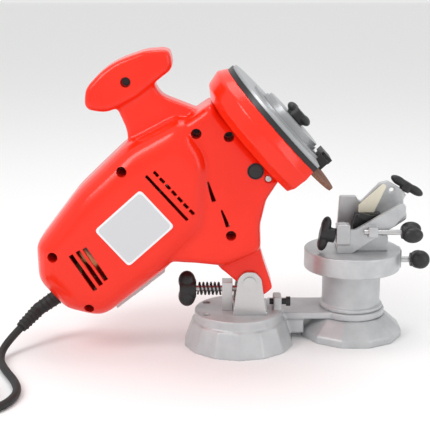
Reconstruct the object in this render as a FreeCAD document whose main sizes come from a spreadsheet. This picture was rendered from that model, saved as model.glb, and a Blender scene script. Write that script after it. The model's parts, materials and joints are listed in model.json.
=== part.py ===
"""Bench chain sharpener: a motor head with a grinding wheel that swings on a
hinge bracket, a cast base, and a chain vise that turns on a pillar.

World frame, millimetres: +Z up, origin on the underside of the machine base,
under its centre.  +X points from the hinge towards the vise, and -Y is the
side with the rating plate.  Every piece of the head is drawn in the head's
own frame and then placed: there x runs along the wheel spindle, z across it,
and the origin is the hinge axis.
"""
import FreeCAD, Part
import math
import os
import re
import types

Vector = FreeCAD.Vector
Rotation = FreeCAD.Rotation
Placement = FreeCAD.Placement
doc = FreeCAD.newDocument("chain_sharpener")

# ---------------------------------------------------------------- sizes
SIZES = [
    ("head_angle", 42, "tilt of the spindle above the bench, degrees"),
    ("hinge_x", 10, "hinge axis from the base centre"),
    ("hinge_z", 66, "hinge axis above the bench"),
    ("wall", 3, "thickness of the moulded housing"),
    ("fit_gap", 0.3, "gap between pieces that sit side by side"),
    ("run_gap", 0.05, "radial clearance of a shaft in its bore"),
    ("barrel_half", 43, "half width of the motor barrel"),
    ("barrel_round", 22, "rounding of the barrel's long edges"),
    ("front_end", 88, "front face of the housing"),
    ("front_half", 35, "half width of the gear end"),
    ("front_round", 10, "rounding of the gear end"),
    ("leg_half", 18, "half width of the leg in the hinge"),
    ("leg_round", 2, "rounding of the leg's edges"),
    ("neck_half", 15, "half width of the handle's neck"),
    ("neck_round", 6, "rounding of the neck"),
    ("grip_half", 19, "half width of the palm grip"),
    ("grip_round", 7, "rounding of the palm grip"),
    ("boss_radius", 7, "screw boss inside the housing"),
    ("sink_radius", 4.8, "recess over each screw head"),
    ("screw_head_radius", 3.6, "housing screw head"),
    ("screw_head_height", 2.4, "housing screw head"),
    ("screw_radius", 1.9, "housing screw thread"),
    ("screw_grip", 9, "thread length each side of the seam"),
    ("rib_thick", 4, "bearing and stator ribs"),
    ("bush_wall", 2, "wall of the hinge bush"),
    ("pin_radius", 4, "hinge pin"),
    ("spindle_z", 87, "spindle axis across the head from the hinge"),
    ("gear_module", 1, "tooth module of the drive"),
    ("pinion_teeth", 12, "teeth of the motor pinion"),
    ("gear_teeth", 54, "teeth of the spindle gear"),
    ("gear_x", 57, "rear face of the spindle gear"),
    ("gear_width", 10, "face width of the spindle gear"),
    ("shaft_radius", 4, "motor shaft"),
    ("spindle_radius", 6, "wheel spindle"),
    ("core_x", -90, "rear end of the armature core"),
    ("core_length", 45, "armature core and stator"),
    ("core_radius", 18, "armature core"),
    ("air_gap", 0.5, "armature to stator"),
    ("stator_radius", 32, "stator outside"),
    ("coil_length", 8, "overhang of the field coils"),
    ("coil_radius", 29, "outside of the field coils"),
    ("fan_x", -30, "rear face of the fan"),
    ("fan_radius", 30, "cooling fan"),
    ("fan_width", 12, "cooling fan"),
    ("fan_blades", 12, "blades of the cooling fan"),
    ("commutator_x", -118, "rear end of the commutator"),
    ("commutator_radius", 11, "commutator"),
    ("commutator_length", 15, "commutator"),
    ("brush_side", 6, "carbon brush section"),
    ("brush_length", 14, "carbon brush"),
    ("holder_wall", 1.5, "brush holder wall"),
    ("rear_bearing_x", -131, "rear motor bearing"),
    ("small_bearing_radius", 9.5, "motor bearings, outside"),
    ("small_bearing_width", 7, "motor bearings"),
    ("big_bearing_radius", 14, "spindle bearings, outside"),
    ("big_bearing_width", 8, "spindle bearings"),
    ("gear_plate_x", 40, "rear face of the gear plate"),
    ("gear_plate_thick", 11, "gear plate"),
    ("guard_radius", 80, "guard outside, at its ridge"),
    ("guard_depth", 30, "guard from back to rim"),
    ("guard_flare", 7.5, "length of the guard's sloping back"),
    ("guard_ridge", 21, "guard from back to ridge"),
    ("flare_drop", 14, "how much smaller the guard is at its back"),
    ("shoulder_drop", 3.5, "how much smaller the guard is where its back ends"),
    ("rim_drop", 5, "how much smaller the guard is at its rim"),
    ("guard_wall", 3, "guard wall"),
    ("rim_wall", 1.8, "guard wall at the rim"),
    ("guard_chord", 50, "height across the head where the guard is open"),
    ("ring_thick", 4.6, "dark ring between guard and cover"),
    ("ring_width", 8, "dark ring, radially"),
    ("cover_thick", 2.4, "front cover plate"),
    ("cover_edge", 1.5, "how far the ring stands out past the cover"),
    ("hub_radius", 32, "raised hub on the cover"),
    ("hub_height", 8, "raised hub on the cover"),
    ("hub_step", 14, "width of the low step round the hub"),
    ("knob_radius", 14.5, "cover knob"),
    ("knob_height", 8, "cover knob"),
    ("wheel_room", 0.7, "gap between the wheel's edge and the guard's rim"),
    ("wheel_thick", 3.2, "grinding wheel"),
    ("wheel_bore", 11.1, "grinding wheel, 22.2 mm bore"),
    ("wheel_inset", 0.5, "front face of the wheel behind the guard's rim"),
    ("flange_radius", 24, "clamping flanges"),
    ("flange_thick", 4, "clamping flanges"),
    ("nut_thick", 5, "wheel nut"),
    ("guard_screw", 2, "guard screw thread"),
    ("guard_screw_head", 3.8, "guard screw head"),
    ("button_radius", 6, "spindle lock button"),
    ("button_x", 77, "spindle lock button"),
    ("button_z", 79.5, "spindle lock button"),
    ("base_radius", 54, "machine base at the bench"),
    ("base_neck", 45.5, "machine base at the top of the skirt"),
    ("skirt_height", 24, "skirt of the machine base"),
    ("deck_radius", 42.5, "deck of the machine base"),
    ("deck_height", 34, "deck above the bench"),
    ("base_wall", 4, "wall of the cast base"),
    ("bench_bolt", 3.5, "bench bolt hole, radius"),
    ("bench_bolt_x", 31, "bench bolts behind the base centre"),
    ("bench_bolt_y", 18, "bench bolts each side of the base centre"),
    ("cheek_gap", 18.5, "half of the gap between the hinge cheeks"),
    ("cheek_thick", 3, "sheet of the hinge bracket"),
    ("eye_radius", 10.5, "rounded top of the hinge cheeks"),
    ("block_x", -16, "rear face of the depth block"),
    ("block_width", 10, "depth block along the screw"),
    ("block_half", 8, "half width of the depth block"),
    ("block_top", 62, "top of the depth block"),
    ("depth_z", 54, "depth screw above the bench"),
    ("depth_tip", 3.5, "tip of the depth screw"),
    ("depth_radius", 3, "depth screw"),
    ("spring_length", 24.7, "spring on the depth screw"),
    ("spring_radius", 5.6, "spring on the depth screw, mid coil"),
    ("spring_wire", 0.9, "radius of the spring wire"),
    ("vise_x", 112, "pillar axis"),
    ("vise_y", 28, "pillar axis"),
    ("foot_radius", 51, "vise foot at the bench"),
    ("foot_rim", 7, "upright rim of the vise foot"),
    ("foot_neck", 35, "vise foot at its top"),
    ("foot_height", 21, "vise foot"),
    ("arm_thick", 7, "plate between the base and the pillar"),
    ("arm_round", 33, "round end of the arm under the pillar"),
    ("pillar_radius", 28.5, "pillar"),
    ("pillar_wall", 4, "pillar"),
    ("pillar_top", 82, "top of the pillar"),
    ("pillar_floor", 64, "web inside the pillar"),
    ("stud_radius", 4, "stud through the pillar"),
    ("collar_radius", 47, "turntable"),
    ("collar_bottom", 68, "underside of the turntable"),
    ("collar_top", 87, "top of the turntable"),
    ("clamp_up", 18.5, "clamp screw above the turntable"),
    ("clamp_out", 14, "clamp screw in front of the middle of the bed"),
    ("stop_up", 22, "stop rod above the turntable"),
    ("stop_out", 22.5, "stop rod in front of the middle of the bed"),
    ("stop_radius", 2.5, "stop rod"),
    ("wing_radius", 2.5, "stem of the wing screw"),
    ("bed_half", 13, "half width of the vise bed"),
    ("rail_thick", 6, "chain rails"),
    ("lock_radius", 3, "clamp screws of the vise"),
    ("chain_slot", 1.8, "slot between front jaw and bed for the drive links"),
    ("cord_radius", 3.7, "mains lead"),
    ("coil_turn_radius", 41, "middle of the turns of the put-away lead"),
    ("coil_across", 3, "turns side by side in the coil"),
    ("coil_layers", 2, "turns on each other in the coil"),
    ("barrel_floor", 65.2, "underside of the barrel at the switch"),
    ("stop_z", 41, "rest stop above the bench"),
    ("vent_wide", 4.4, "cooling slots of the barrel"),
    ("slot_wide", 3, "other cooling slots"),
]

sheet = doc.addObject("Spreadsheet::Sheet", "sizes")
for row, (alias, number, note) in enumerate(SIZES, start=1):
    sheet.set(f"A{row}", alias)
    sheet.set(f"B{row}", str(number))
    sheet.setAlias(f"B{row}", alias)
    sheet.set(f"C{row}", note)
doc.recompute()
ALIASES = {alias for alias, number, note in SIZES}
s = types.SimpleNamespace(**{alias: float(sheet.get(alias)) for alias in ALIASES})


# ---------------------------------------------------------------- helpers
def bind(thing, prop, formula):
    """Tie one property to the size table; a formula uses the plain aliases."""
    text = re.sub(r"[a-z]\w*", lambda m: "sizes." + m[0] if m[0] in ALIASES else m[0], str(formula))
    thing.setExpression(prop, text)


AXES = {
    "x": Rotation(Vector(0, 1, 0), 90),
    "-x": Rotation(Vector(0, 1, 0), -90),
    "y": Rotation(Vector(1, 0, 0), -90),
    "-y": Rotation(Vector(1, 0, 0), 90),
    "z": Rotation(),
}


def place(thing, at, axis="z"):
    thing.Placement = Placement(Vector(), AXES[axis])
    for letter, formula in zip("xyz", at):
        bind(thing, f"Placement.Base.{letter}", formula)
    return thing


def rod(name, radius, length, at, axis="x"):
    """A round bar that starts at a point and runs along an axis."""
    thing = doc.addObject("Part::Cylinder", name)
    bind(thing, "Radius", radius)
    bind(thing, "Height", length)
    return place(thing, at, axis)


def taper(name, radius, end_radius, length, at, axis="x"):
    thing = doc.addObject("Part::Cone", name)
    bind(thing, "Radius1", radius)
    bind(thing, "Radius2", end_radius)
    bind(thing, "Height", length)
    return place(thing, at, axis)


def block(name, size, at):
    """A box from its lowest corner."""
    thing = doc.addObject("Part::Box", name)
    for prop, formula in zip(("Length", "Width", "Height"), size):
        bind(thing, prop, formula)
    return place(thing, at)


def prism(name, sides, radius, length, at, axis="x"):
    thing = doc.addObject("Part::Prism", name)
    thing.Polygon = sides
    bind(thing, "Circumradius", radius)
    bind(thing, "Height", length)
    return place(thing, at, axis)


def fuse(name, things):
    thing = doc.addObject("Part::MultiFuse", name)
    thing.Shapes = things
    return thing


def cut(name, base, tools):
    thing = doc.addObject("Part::Cut", name)
    thing.Base = base
    thing.Tool = tools[0] if len(tools) == 1 else fuse(name + "_tools", tools)
    return thing


def common(name, first, second):
    thing = doc.addObject("Part::Common", name)
    thing.Base = first
    thing.Tool = second
    return thing


def ring(name, radius, bore, length, at, axis="x"):
    margin = 1
    start = list(at)
    letter = "xyz".index(axis.strip("-"))
    start[letter] = f"{at[letter]} {'+' if axis[0] == '-' else '-'} {margin}"
    inner = rod(name + "_bore", bore, f"{length} + {2 * margin}", start, axis)
    return cut(name, rod(name + "_body", radius, length, at, axis), [inner])


def rounded(points):
    """A closed wire through (x, z, corner radius) points, corners as arcs."""
    corners = [(Vector(p[0], p[1], 0), p[2]) for p in points]
    ends = []
    for i, (here, radius) in enumerate(corners):
        back = (corners[i - 1][0] - here).normalize()
        ahead = (corners[(i + 1) % len(corners)][0] - here).normalize()
        half = back.getAngle(ahead) / 2
        reach = radius / math.tan(half)
        middle = here + (back + ahead).normalize() * (radius / math.sin(half) - radius)
        ends.append((here + back * reach, middle, here + ahead * reach))
    edges = []
    for i, (start, middle, stop) in enumerate(ends):
        edges.append(Part.Arc(start, middle, stop).toShape())
        edges.append(Part.LineSegment(stop, ends[(i + 1) % len(ends)][0]).toShape())
    return Part.Wire(edges)


def inset(wire, distance):
    return Part.Face(wire).makeOffset2D(-distance).OuterWire


def pad(name, wire, depth, side=-1, edge_round=None, offset="0"):
    """A PartDesign pad of a wire in the XZ plane, towards -Y or +Y."""
    body = doc.addObject("PartDesign::Body", name)
    plane = next(f for f in body.Origin.OriginFeatures if f.Role == "XZ_Plane")
    sketch = body.newObject("Sketcher::SketchObject", name + "_sketch")
    sketch.AttachmentSupport = (plane, "")
    sketch.MapMode = "FlatFace"
    for edge in wire.OrderedEdges:
        if isinstance(edge.Curve, Part.Line):
            ends = [v.Point for v in edge.Vertexes]
            sketch.addGeometry(Part.LineSegment(ends[0], ends[1]), False)
        else:
            sketch.addGeometry(Part.ArcOfCircle(edge.Curve, *edge.ParameterRange), False)
    feature = body.newObject("PartDesign::Pad", name + "_pad")
    feature.Profile = sketch
    feature.Reversed = side > 0
    bind(feature, "Length", depth)
    doc.recompute()
    if edge_round:
        far = feature.Shape.BoundBox.YMin if side < 0 else feature.Shape.BoundBox.YMax
        names = []
        for number, edge in enumerate(feature.Shape.Edges, start=1):
            if all(abs(v.Point.y - far) < 1e-6 for v in edge.Vertexes):
                names.append(f"Edge{number}")
        fillet = body.newObject("PartDesign::Fillet", name + "_fillet")
        fillet.Base = (feature, names)
        bind(fillet, "Radius", edge_round)
        body.Tip = fillet
    bind(body, "Placement.Base.y", offset)
    doc.recompute()
    return body


def solid(name, shape, placement=None):
    """A piece made with Part's own functions."""
    thing = doc.addObject("Part::Feature", name)
    thing.Shape = shape
    if placement:
        thing.Placement = placement
    return thing


NODES = {}


def node(name, things, head=False):
    """The finished piece: its label names its file."""
    piece = doc.addObject("Part::Compound", name)
    piece.Label = name
    piece.Links = things if isinstance(things, list) else [things]
    if head:
        piece.Placement = Placement(Vector(), Rotation(Vector(0, 1, 0), -1))
        bind(piece, "Placement.Rotation.Angle", "-head_angle")
        bind(piece, "Placement.Base.x", "hinge_x")
        bind(piece, "Placement.Base.z", "hinge_z")
    NODES[name] = piece
    return piece


def head_point(x, z, y=0.0):
    """World place of a point of the head's frame."""
    turn = math.radians(s.head_angle)
    return Vector(
        s.hinge_x + x * math.cos(turn) - z * math.sin(turn),
        y,
        s.hinge_z + x * math.sin(turn) + z * math.cos(turn),
    )


def head_tool(name, shape):
    """A shape drawn in the world, brought into the head's frame."""
    turn = Rotation(Vector(0, 1, 0), -s.head_angle)
    return solid(name, shape, Placement(Vector(s.hinge_x, 0, s.hinge_z), turn).inverse())


motor_z = s.spindle_z + s.gear_module * (s.gear_teeth + s.pinion_teeth) / 2
MOTOR_Z = "spindle_z + gear_module * (gear_teeth + pinion_teeth) / 2"

# where the strain relief leaves the head, and the way it goes
relief_start = head_point(-142, 108)
relief_ways = [Vector(-0.821, -0.22, -0.527), Vector(-0.579, -0.644, -0.5)]
relief_lengths = [30, 26]
relief_radii = [7.4, 6.3, 5.2]

# ---------------------------------------------------------------- housing
BARREL = rounded([
    (-146, 98, 22), (-146, 136, 22), (-124, 162, 16), (-60, 174, 120), (4, 176, 80),
    (64, 161, 16), (58, 118, 36), (10, 66, 30), (-50, 63, 60), (-126, 68, 26),
])
FRONT = rounded([
    (-24, 150, 5), (40, 158, 10), (s.front_end, 152, 5), (s.front_end, 57, 3),
    (66, 51, 12), (46, 37, 8), (30, 18, 8), (-6, 30, 8), (-24, 50, 16), (-42, 68, 10),
])
LEG = rounded([(-13, 36, 6), (38, 34, 6), (24, 8, 12), (12, -20, 3), (-1, -19, 3), (-9, 6, 10)])
NECK = rounded([(-14, 150, 7), (12, 184, 24), (22, 214, 7), (62, 211, 7), (57, 186, 16), (78, 144, 7)])
GRIP = rounded([
    (-4, 224, 8), (10, 237, 16), (40, 240, 70), (74, 226, 40), (92, 212, 8),
    (82, 197, 9), (40, 200, 80), (10, 207, 24),
])
SCREWS = [
    (42, 217, "grip_half"), (60, 141, "front_half"), (80, 119, "front_half"),
    (-13, 161, "barrel_half"), (-115, 145, "barrel_half"), (-125, 86, "barrel_half"),
    (20, 49, "front_half"),
]
SEAM = 0.1
CORD_HOLE = 16
TAIL_VENTS = [((-109, 96), (-102.8, 136)), ((-101.5, 96), (-95.4, 134.5)), ((-94.8, 96.5), (-88.7, 132.5))]
LEG_VENTS = [((28, 84.5), (37.4, 101.8)), ((21.6, 57.8), (28.9, 73.6))]
SHORT_VENTS = 7
# across the head and up from the spindle
GUARD_SCREWS = [(-24, 21), (24, 21), (-24, -21), (24, -21)]


def shell(side):
    """One half of the housing: side -1 carries the screw heads."""
    tag = "near" if side < 0 else "far"
    start = str(side * SEAM)
    outer = [
        pad(f"barrel_{tag}", BARREL, "barrel_half", side, "barrel_round", start),
        pad(f"front_{tag}", FRONT, "front_half", side, "front_round", start),
        pad(f"leg_{tag}", LEG, "leg_half - 0.1", side, "leg_round", start),
        pad(f"neck_{tag}", NECK, "neck_half", side, "neck_round", start),
        pad(f"grip_{tag}", GRIP, "grip_half", side, "grip_round", start),
    ]
    hollow = [
        pad(f"barrel_hollow_{tag}", inset(BARREL, s.wall), "barrel_half - wall", side,
            "barrel_round - wall", start),
        pad(f"front_hollow_{tag}", inset(FRONT, s.wall), "front_half - wall", side,
            "front_round - wall", start),
        pad(f"grip_hollow_{tag}", inset(GRIP, s.wall), "grip_half - wall", side,
            "grip_round - wall", start),
    ]
    skin = cut(f"skin_{tag}", fuse(f"outer_{tag}", outer), hollow)

    # ribs that carry the motor, clipped to the housing's outside
    def rib(name, x, thick, low, high, half):
        width = f"{half} - 0.5"
        y = "0.1" if side > 0 else f"-({half}) + 0.4"
        return block(f"{name}_{tag}", (thick, width, f"{high} - ({low})"), (x, y, low))

    ribs = fuse(f"ribs_{tag}", [
        rib("rib_bearing", "rear_bearing_x", "small_bearing_width", 74, 160, "barrel_half"),
        rib("rib_rear", "core_x + 4", "rib_thick", 66, 172, "barrel_half"),
        rib("rib_mid", "core_x + core_length - 4 - rib_thick", "rib_thick", 66, 172, "barrel_half"),
        rib("rib_front", "front_end - wall - big_bearing_width", "big_bearing_width", 60, 117,
            "front_half"),
    ])
    bosses = []
    holes = []
    for number, (x, z, half) in enumerate(SCREWS):
        ref = f"{tag}_{number}"
        y = str(side * SEAM)
        axis = "y" if side > 0 else "-y"
        bosses.append(rod(f"boss_{ref}", "boss_radius", f"{half} - 1", (x, y, z), axis))
        if side < 0:
            holes.append(rod(f"sink_{ref}", "sink_radius", f"{half}", (x, "-screw_grip", z), axis))
            holes.append(rod(f"hole_{ref}", "screw_radius + run_gap", f"{half}", (x, 0, z), axis))
        else:
            holes.append(rod(f"hole_{ref}", "screw_radius + run_gap", "screw_grip + 1", (x, 0, z), axis))
    holes += [
        rod(f"seat_rear_{tag}", "small_bearing_radius + fit_gap", "small_bearing_width + 2",
            ("rear_bearing_x - 1", 0, MOTOR_Z)),
        rod(f"seat_stator_{tag}", "stator_radius + fit_gap", "core_length + 2", ("core_x - 1", 0, MOTOR_Z)),
        rod(f"seat_front_{tag}", "big_bearing_radius + fit_gap", "big_bearing_width",
            ("front_end - wall - big_bearing_width", 0, "spindle_z")),
        rod(f"mouth_front_{tag}", "big_bearing_radius - 3", 40, ("front_end - 20", 0, "spindle_z")),
        rod(f"eye_hole_{tag}", "pin_radius + bush_wall + run_gap", 120, (0, -60, 0), "y"),
        head_tool(f"cord_hole_{tag}", Part.makeCylinder(
            relief_radii[0] + s.fit_gap, 2 * CORD_HOLE, relief_start - relief_ways[0] * CORD_HOLE,
                relief_ways[0])),
    ]
    holes.append(block(f"switch_hole_{tag}", (30, 24, 22), (-98, -12, "barrel_floor - 12")))
    # cooling slots through the side of the housing
    y = "barrel_half - 8" if side > 0 else "-barrel_half - 4"
    for number, (low, high) in enumerate(TAIL_VENTS):
        holes.append(slot(f"tail_vent_{tag}_{number}", low, high, "vent_wide", y))
    holes.append(slot(f"long_vent_{tag}", (0, 88), (0, 144), "slot_wide", y))
    for number in range(SHORT_VENTS):
        foot = 88 + 8 * number
        holes.append(slot(f"short_vent_{tag}_{number}", (8, foot), (8, foot + 6), "slot_wide", y))
    y = "front_half - 8" if side > 0 else "-front_half - 4"
    for number, (low, high) in enumerate(LEG_VENTS):
        holes.append(slot(f"leg_vent_{tag}_{number}", low, high, "slot_wide", y))
    for number, (across, up) in enumerate(GUARD_SCREWS):
        holes.append(rod(f"guard_hole_{tag}_{number}", "guard_screw + run_gap", 14,
                         ("front_end - 12", across, f"spindle_z + {up}")))
    if side < 0:
        holes.append(rod("button_hole", "button_radius + fit_gap", 30,
            ("button_x", "-front_half - 10", "button_z"),
                         "y"))
    inside = fuse(f"inside_{tag}", [ribs] + bosses)
    body = fuse(f"body_{tag}", [skin, common(f"clipped_{tag}", inside, fuse(f"clip_{tag}", outer))])
    return cut(f"housing_{tag}", body, holes)


def slot(name, low, high, width, y):
    """A slot that cuts through a side wall, between two places of the head."""
    rise = Vector(high[0] - low[0], 0, high[1] - low[1])
    thing = block(name, (width, 12, rise.Length), (low[0], y, low[1]))
    thing.Placement = Placement(thing.Placement.Base, Rotation(Vector(0, 0, 1), rise))
    return thing


node("housing_front_half", shell(-1), head=True)
node("housing_back_half", shell(1), head=True)


# housing screws: the head sits at the bottom of its recess
parts = []
for number, (x, z, half) in enumerate(SCREWS):
    parts.append(fuse(f"housing_screw_{number}", [
        rod(f"screw_shank_{number}", "screw_radius", "2 * screw_grip", (x, "-screw_grip", z), "y"),
        rod(f"screw_cap_{number}", "screw_head_radius", "screw_head_height", (x, "-screw_grip", z), "-y"),
    ]))
node("housing_screws", parts, head=True)

node("hinge_bush", ring("bush", "pin_radius + bush_wall", "pin_radius + run_gap", "2 * leg_half",
     (0, "-leg_half", 0), "y"), head=True)
node("rating_plate", block("plate", (57, 0.8, 46), (-68, "-barrel_half - 0.9", 92)), head=True)

# ---------------------------------------------------------------- motor
node("armature_shaft", rod("motor_shaft", "shaft_radius", "gear_x + gear_width - rear_bearing_x + 2",
     ("rear_bearing_x", 0, MOTOR_Z)), head=True)
MOTOR_BORE = "shaft_radius"
node("armature_core", fuse("wound_core", [
    ring("core", "core_radius - air_gap", MOTOR_BORE, "core_length", ("core_x", 0, MOTOR_Z)),
    ring("winding_rear", "core_radius - 3", MOTOR_BORE, "coil_length",
        ("core_x - coil_length", 0, MOTOR_Z)),
    ring("winding_front", "core_radius - 3", MOTOR_BORE, "coil_length",
        ("core_x + core_length", 0, MOTOR_Z)),
]), head=True)
node("commutator", ring("copper_ring", "commutator_radius", MOTOR_BORE, "commutator_length",
     ("commutator_x", 0, MOTOR_Z)), head=True)
node("stator_core", ring("stator", "stator_radius", "core_radius", "core_length", ("core_x", 0, MOTOR_Z)),
     head=True)
node("field_coils", [
    ring("coil_rear", "coil_radius", "core_radius + 1", "coil_length",
        ("core_x - coil_length", 0, MOTOR_Z)),
    ring("coil_front", "coil_radius", "core_radius + 1", "coil_length",
        ("core_x + core_length", 0, MOTOR_Z)),
], head=True)
fan_parts = [
    ring("fan_hub", "shaft_radius + 5", MOTOR_BORE, "fan_width", ("fan_x", 0, MOTOR_Z)),
    ring("fan_disc", "fan_radius", MOTOR_BORE, 2, ("fan_x + fan_width - 2", 0, MOTOR_Z)),
]
for number in range(int(s.fan_blades)):
    angle = math.radians(360 / s.fan_blades * number)
    blade = Part.makeBox(s.fan_width - 1, 1.5, s.fan_radius - s.shaft_radius - 4,
                         Vector(s.fan_x, -0.75, s.shaft_radius + 3))
    blade.rotate(Vector(0, 0, 0), Vector(1, 0, 0), math.degrees(angle))
    blade.translate(Vector(0, 0, motor_z))
    fan_parts.append(solid(f"fan_blade_{number}", blade))
node("cooling_fan", fuse("fan", fan_parts), head=True)
node("motor_bearings", [
    ring(f"motor_race_{start}", "small_bearing_radius", "shaft_radius + run_gap", "small_bearing_width",
         (start, 0, MOTOR_Z)) for start in ("rear_bearing_x", "gear_plate_x")
], head=True)
BRUSH_X = "commutator_x + commutator_length / 2 - brush_side / 2"
holders = []
brushes = []
for side, sign in (("near", -1), ("far", 1)):
    low = "commutator_radius + 0.2" if sign > 0 else "-commutator_radius - 0.2 - brush_length"
    brushes.append(block(f"brush_{side}", ("brush_side", "brush_length", "brush_side"),
                         (BRUSH_X, low, f"{MOTOR_Z} - brush_side / 2")))
    outer_low = "commutator_radius + 4" if sign > 0 else "-barrel_half + wall + fit_gap"
    length = "barrel_half - wall - fit_gap - commutator_radius - 4"
    outside = block(f"holder_out_{side}",
        ("brush_side + 2 * holder_wall", length, "brush_side + 2 * holder_wall"),
                    (f"{BRUSH_X} - holder_wall", outer_low, f"{MOTOR_Z} - brush_side / 2 - holder_wall"))
    inside_cut = block(f"holder_in_{side}", ("brush_side + 2 * run_gap", 70, "brush_side + 2 * run_gap"),
                       (f"{BRUSH_X} - run_gap", 0 if sign > 0 else -70,
                           f"{MOTOR_Z} - brush_side / 2 - run_gap"))
    holders.append(cut(f"holder_{side}", outside, [inside_cut]))
node("carbon_brushes", brushes, head=True)
node("brush_holders", holders, head=True)

# ---------------------------------------------------------------- gears
def gear_face(teeth, first_angle, centre_z, hole):
    """A spur gear's outline, teeth as straight sided blocks, in the YZ plane."""
    pitch = s.gear_module * teeth / 2
    step = 2 * math.pi / teeth
    points = []
    for tooth in range(teeth):
        middle = first_angle + tooth * step
        for radius, share in ((pitch - s.gear_module, -0.27), (pitch + 0.6 * s.gear_module, -0.12),
                              (pitch + 0.6 * s.gear_module, 0.12), (pitch - s.gear_module, 0.27)):
            angle = middle + share * step
            points.append(Vector(0, radius * math.sin(angle), centre_z + radius * math.cos(angle)))
    face = Part.Face(Part.makePolygon(points + [points[0]]))
    drill = Part.Face(Part.Wire(Part.makeCircle(hole, Vector(0, 0, centre_z), Vector(1, 0, 0))))
    return face.cut(drill)


def gear(name, teeth, first_angle, centre_z, hole, start, width):
    shape = gear_face(teeth, first_angle, centre_z, hole).extrude(Vector(width, 0, 0))
    shape.translate(Vector(start, 0, 0))
    return solid(name, shape)


half_tooth = math.pi / s.gear_teeth
node("spindle_gear", gear("big_gear", int(s.gear_teeth), half_tooth, s.spindle_z, s.spindle_radius,
     s.gear_x, s.gear_width), head=True)
node("motor_pinion", gear("pinion", int(s.pinion_teeth), math.pi, motor_z, s.shaft_radius,
     s.gear_x, s.gear_width), head=True)
plate = block("gear_plate_blank", ("gear_plate_thick", "2 * (front_half - wall - fit_gap)", 72),
              ("gear_plate_x", "-front_half + wall + fit_gap", 66))
node("gear_plate", cut("gear_plate_cut", plate, [
    rod("plate_pocket_a", "small_bearing_radius + run_gap", "small_bearing_width",
        ("gear_plate_x", 0, MOTOR_Z)),
    rod("plate_hole_a", "shaft_radius + 1", 30, ("gear_plate_x - 5", 0, MOTOR_Z)),
    rod("plate_pocket_b", "big_bearing_radius + run_gap", "big_bearing_width",
        ("gear_plate_x", 0, "spindle_z")),
    rod("plate_hole_b", "spindle_radius + 1", 30, ("gear_plate_x - 5", 0, "spindle_z")),
]), head=True)
node("spindle_bearings", [
    ring(f"spindle_race_{number}", "big_bearing_radius", "spindle_radius + run_gap", "big_bearing_width",
         (start, 0, "spindle_z"))
    for number, start in enumerate(("gear_plate_x", "front_end - wall - big_bearing_width"))
], head=True)

# ---------------------------------------------------------------- spindle and wheel
RIM_X = "front_end + guard_depth"
WHEEL_FRONT = f"{RIM_X} - wheel_inset"
WHEEL_X = f"{WHEEL_FRONT} - wheel_thick"
WHEEL_RADIUS = "guard_radius - rim_drop - rim_wall - wheel_room"
NUT_X = f"{WHEEL_FRONT} + flange_thick"
node("spindle", rod("spindle_bar", "spindle_radius", f"{NUT_X} + nut_thick + 1 - gear_plate_x",
     ("gear_plate_x", 0, "spindle_z")), head=True)
node("inner_flange", cut("inner_flange_cut", fuse("inner_flange_blank", [
    rod("inner_disc", "flange_radius", "flange_thick", (f"{WHEEL_X} - flange_thick", 0, "spindle_z")),
    rod("inner_spigot", "wheel_bore - run_gap", "flange_thick + wheel_thick - 0.2",
        (f"{WHEEL_X} - flange_thick", 0, "spindle_z")),
    rod("inner_sleeve", "spindle_radius + 4", f"{WHEEL_X} - flange_thick - front_end + wall",
        ("front_end - wall", 0, "spindle_z")),
]), [rod("inner_bore", "spindle_radius", 60, ("front_end - 20", 0, "spindle_z"))]), head=True)
node("grinding_wheel", ring("wheel", WHEEL_RADIUS, "wheel_bore", "wheel_thick", (WHEEL_X, 0, "spindle_z")),
     head=True)
node("outer_flange", ring("outer_disc", "flange_radius", "spindle_radius", "flange_thick",
     (WHEEL_FRONT, 0, "spindle_z")), head=True)
nut = prism("nut_blank", 6, 11, "nut_thick", (NUT_X, 0, "spindle_z"))
node("wheel_nut", cut("nut_cut", nut,
    [rod("nut_bore", "spindle_radius", 30, (f"{NUT_X} - 5", 0, "spindle_z"))]),
     head=True)

# ---------------------------------------------------------------- guard
def chord(name):
    """Everything below the open lower edge of the guard."""
    return block(name, (80, 200, 100), ("front_end - 10", -100, "guard_chord - 100"))


def drum(name, start, back, shoulder, ridge, rim, past="0"):
    """The guard's turned shape: a sloping back, a drum and a chamfered rim."""
    flare_end = "front_end + guard_flare"
    ridge_x = "front_end + guard_ridge"
    return fuse(name, [
        taper(name + "_flare", back, shoulder, f"{flare_end} - ({start})", (start, 0, "spindle_z")),
        taper(name + "_drum", shoulder, ridge, "guard_ridge - guard_flare", (flare_end, 0, "spindle_z")),
        taper(name + "_rim", ridge, rim, "guard_depth - guard_ridge", (ridge_x, 0, "spindle_z")),
        rod(name + "_end", rim, f"wheel_inset + {past}", (f"{RIM_X} - wheel_inset", 0, "spindle_z")),
    ])


guard = drum("guard_blank", "front_end", "guard_radius - flare_drop", "guard_radius - shoulder_drop",
             "guard_radius", "guard_radius - rim_drop")
guard_holes = [
    drum("guard_room", "front_end + guard_wall", "guard_radius - flare_drop - 1",
         "guard_radius - shoulder_drop - guard_wall", "guard_radius - guard_wall",
         "guard_radius - rim_drop - rim_wall", "2"),
    rod("guard_bore", "big_bearing_radius + 4", 20, ("front_end - 5", 0, "spindle_z")),
    chord("guard_opening"),
]
for number, (across, up) in enumerate(GUARD_SCREWS):
    guard_holes.append(rod(f"guard_screw_hole_{number}", "guard_screw + run_gap", 14,
                           ("front_end - 2", across, f"spindle_z + {up}")))
node("wheel_guard", cut("guard", guard, guard_holes), head=True)
parts = []
for number, (across, up) in enumerate(GUARD_SCREWS):
    level = f"spindle_z + {up}"
    parts.append(fuse(f"guard_screw_{number}", [
        rod(f"guard_shank_{number}", "guard_screw", "guard_wall + 8", ("front_end - 8", across, level)),
        rod(f"guard_cap_{number}", "guard_screw_head", 2.4, ("front_end + guard_wall", across, level)),
    ]))
node("guard_screws", parts, head=True)
RING_RADIUS = "guard_radius - rim_drop - 0.5"
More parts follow.
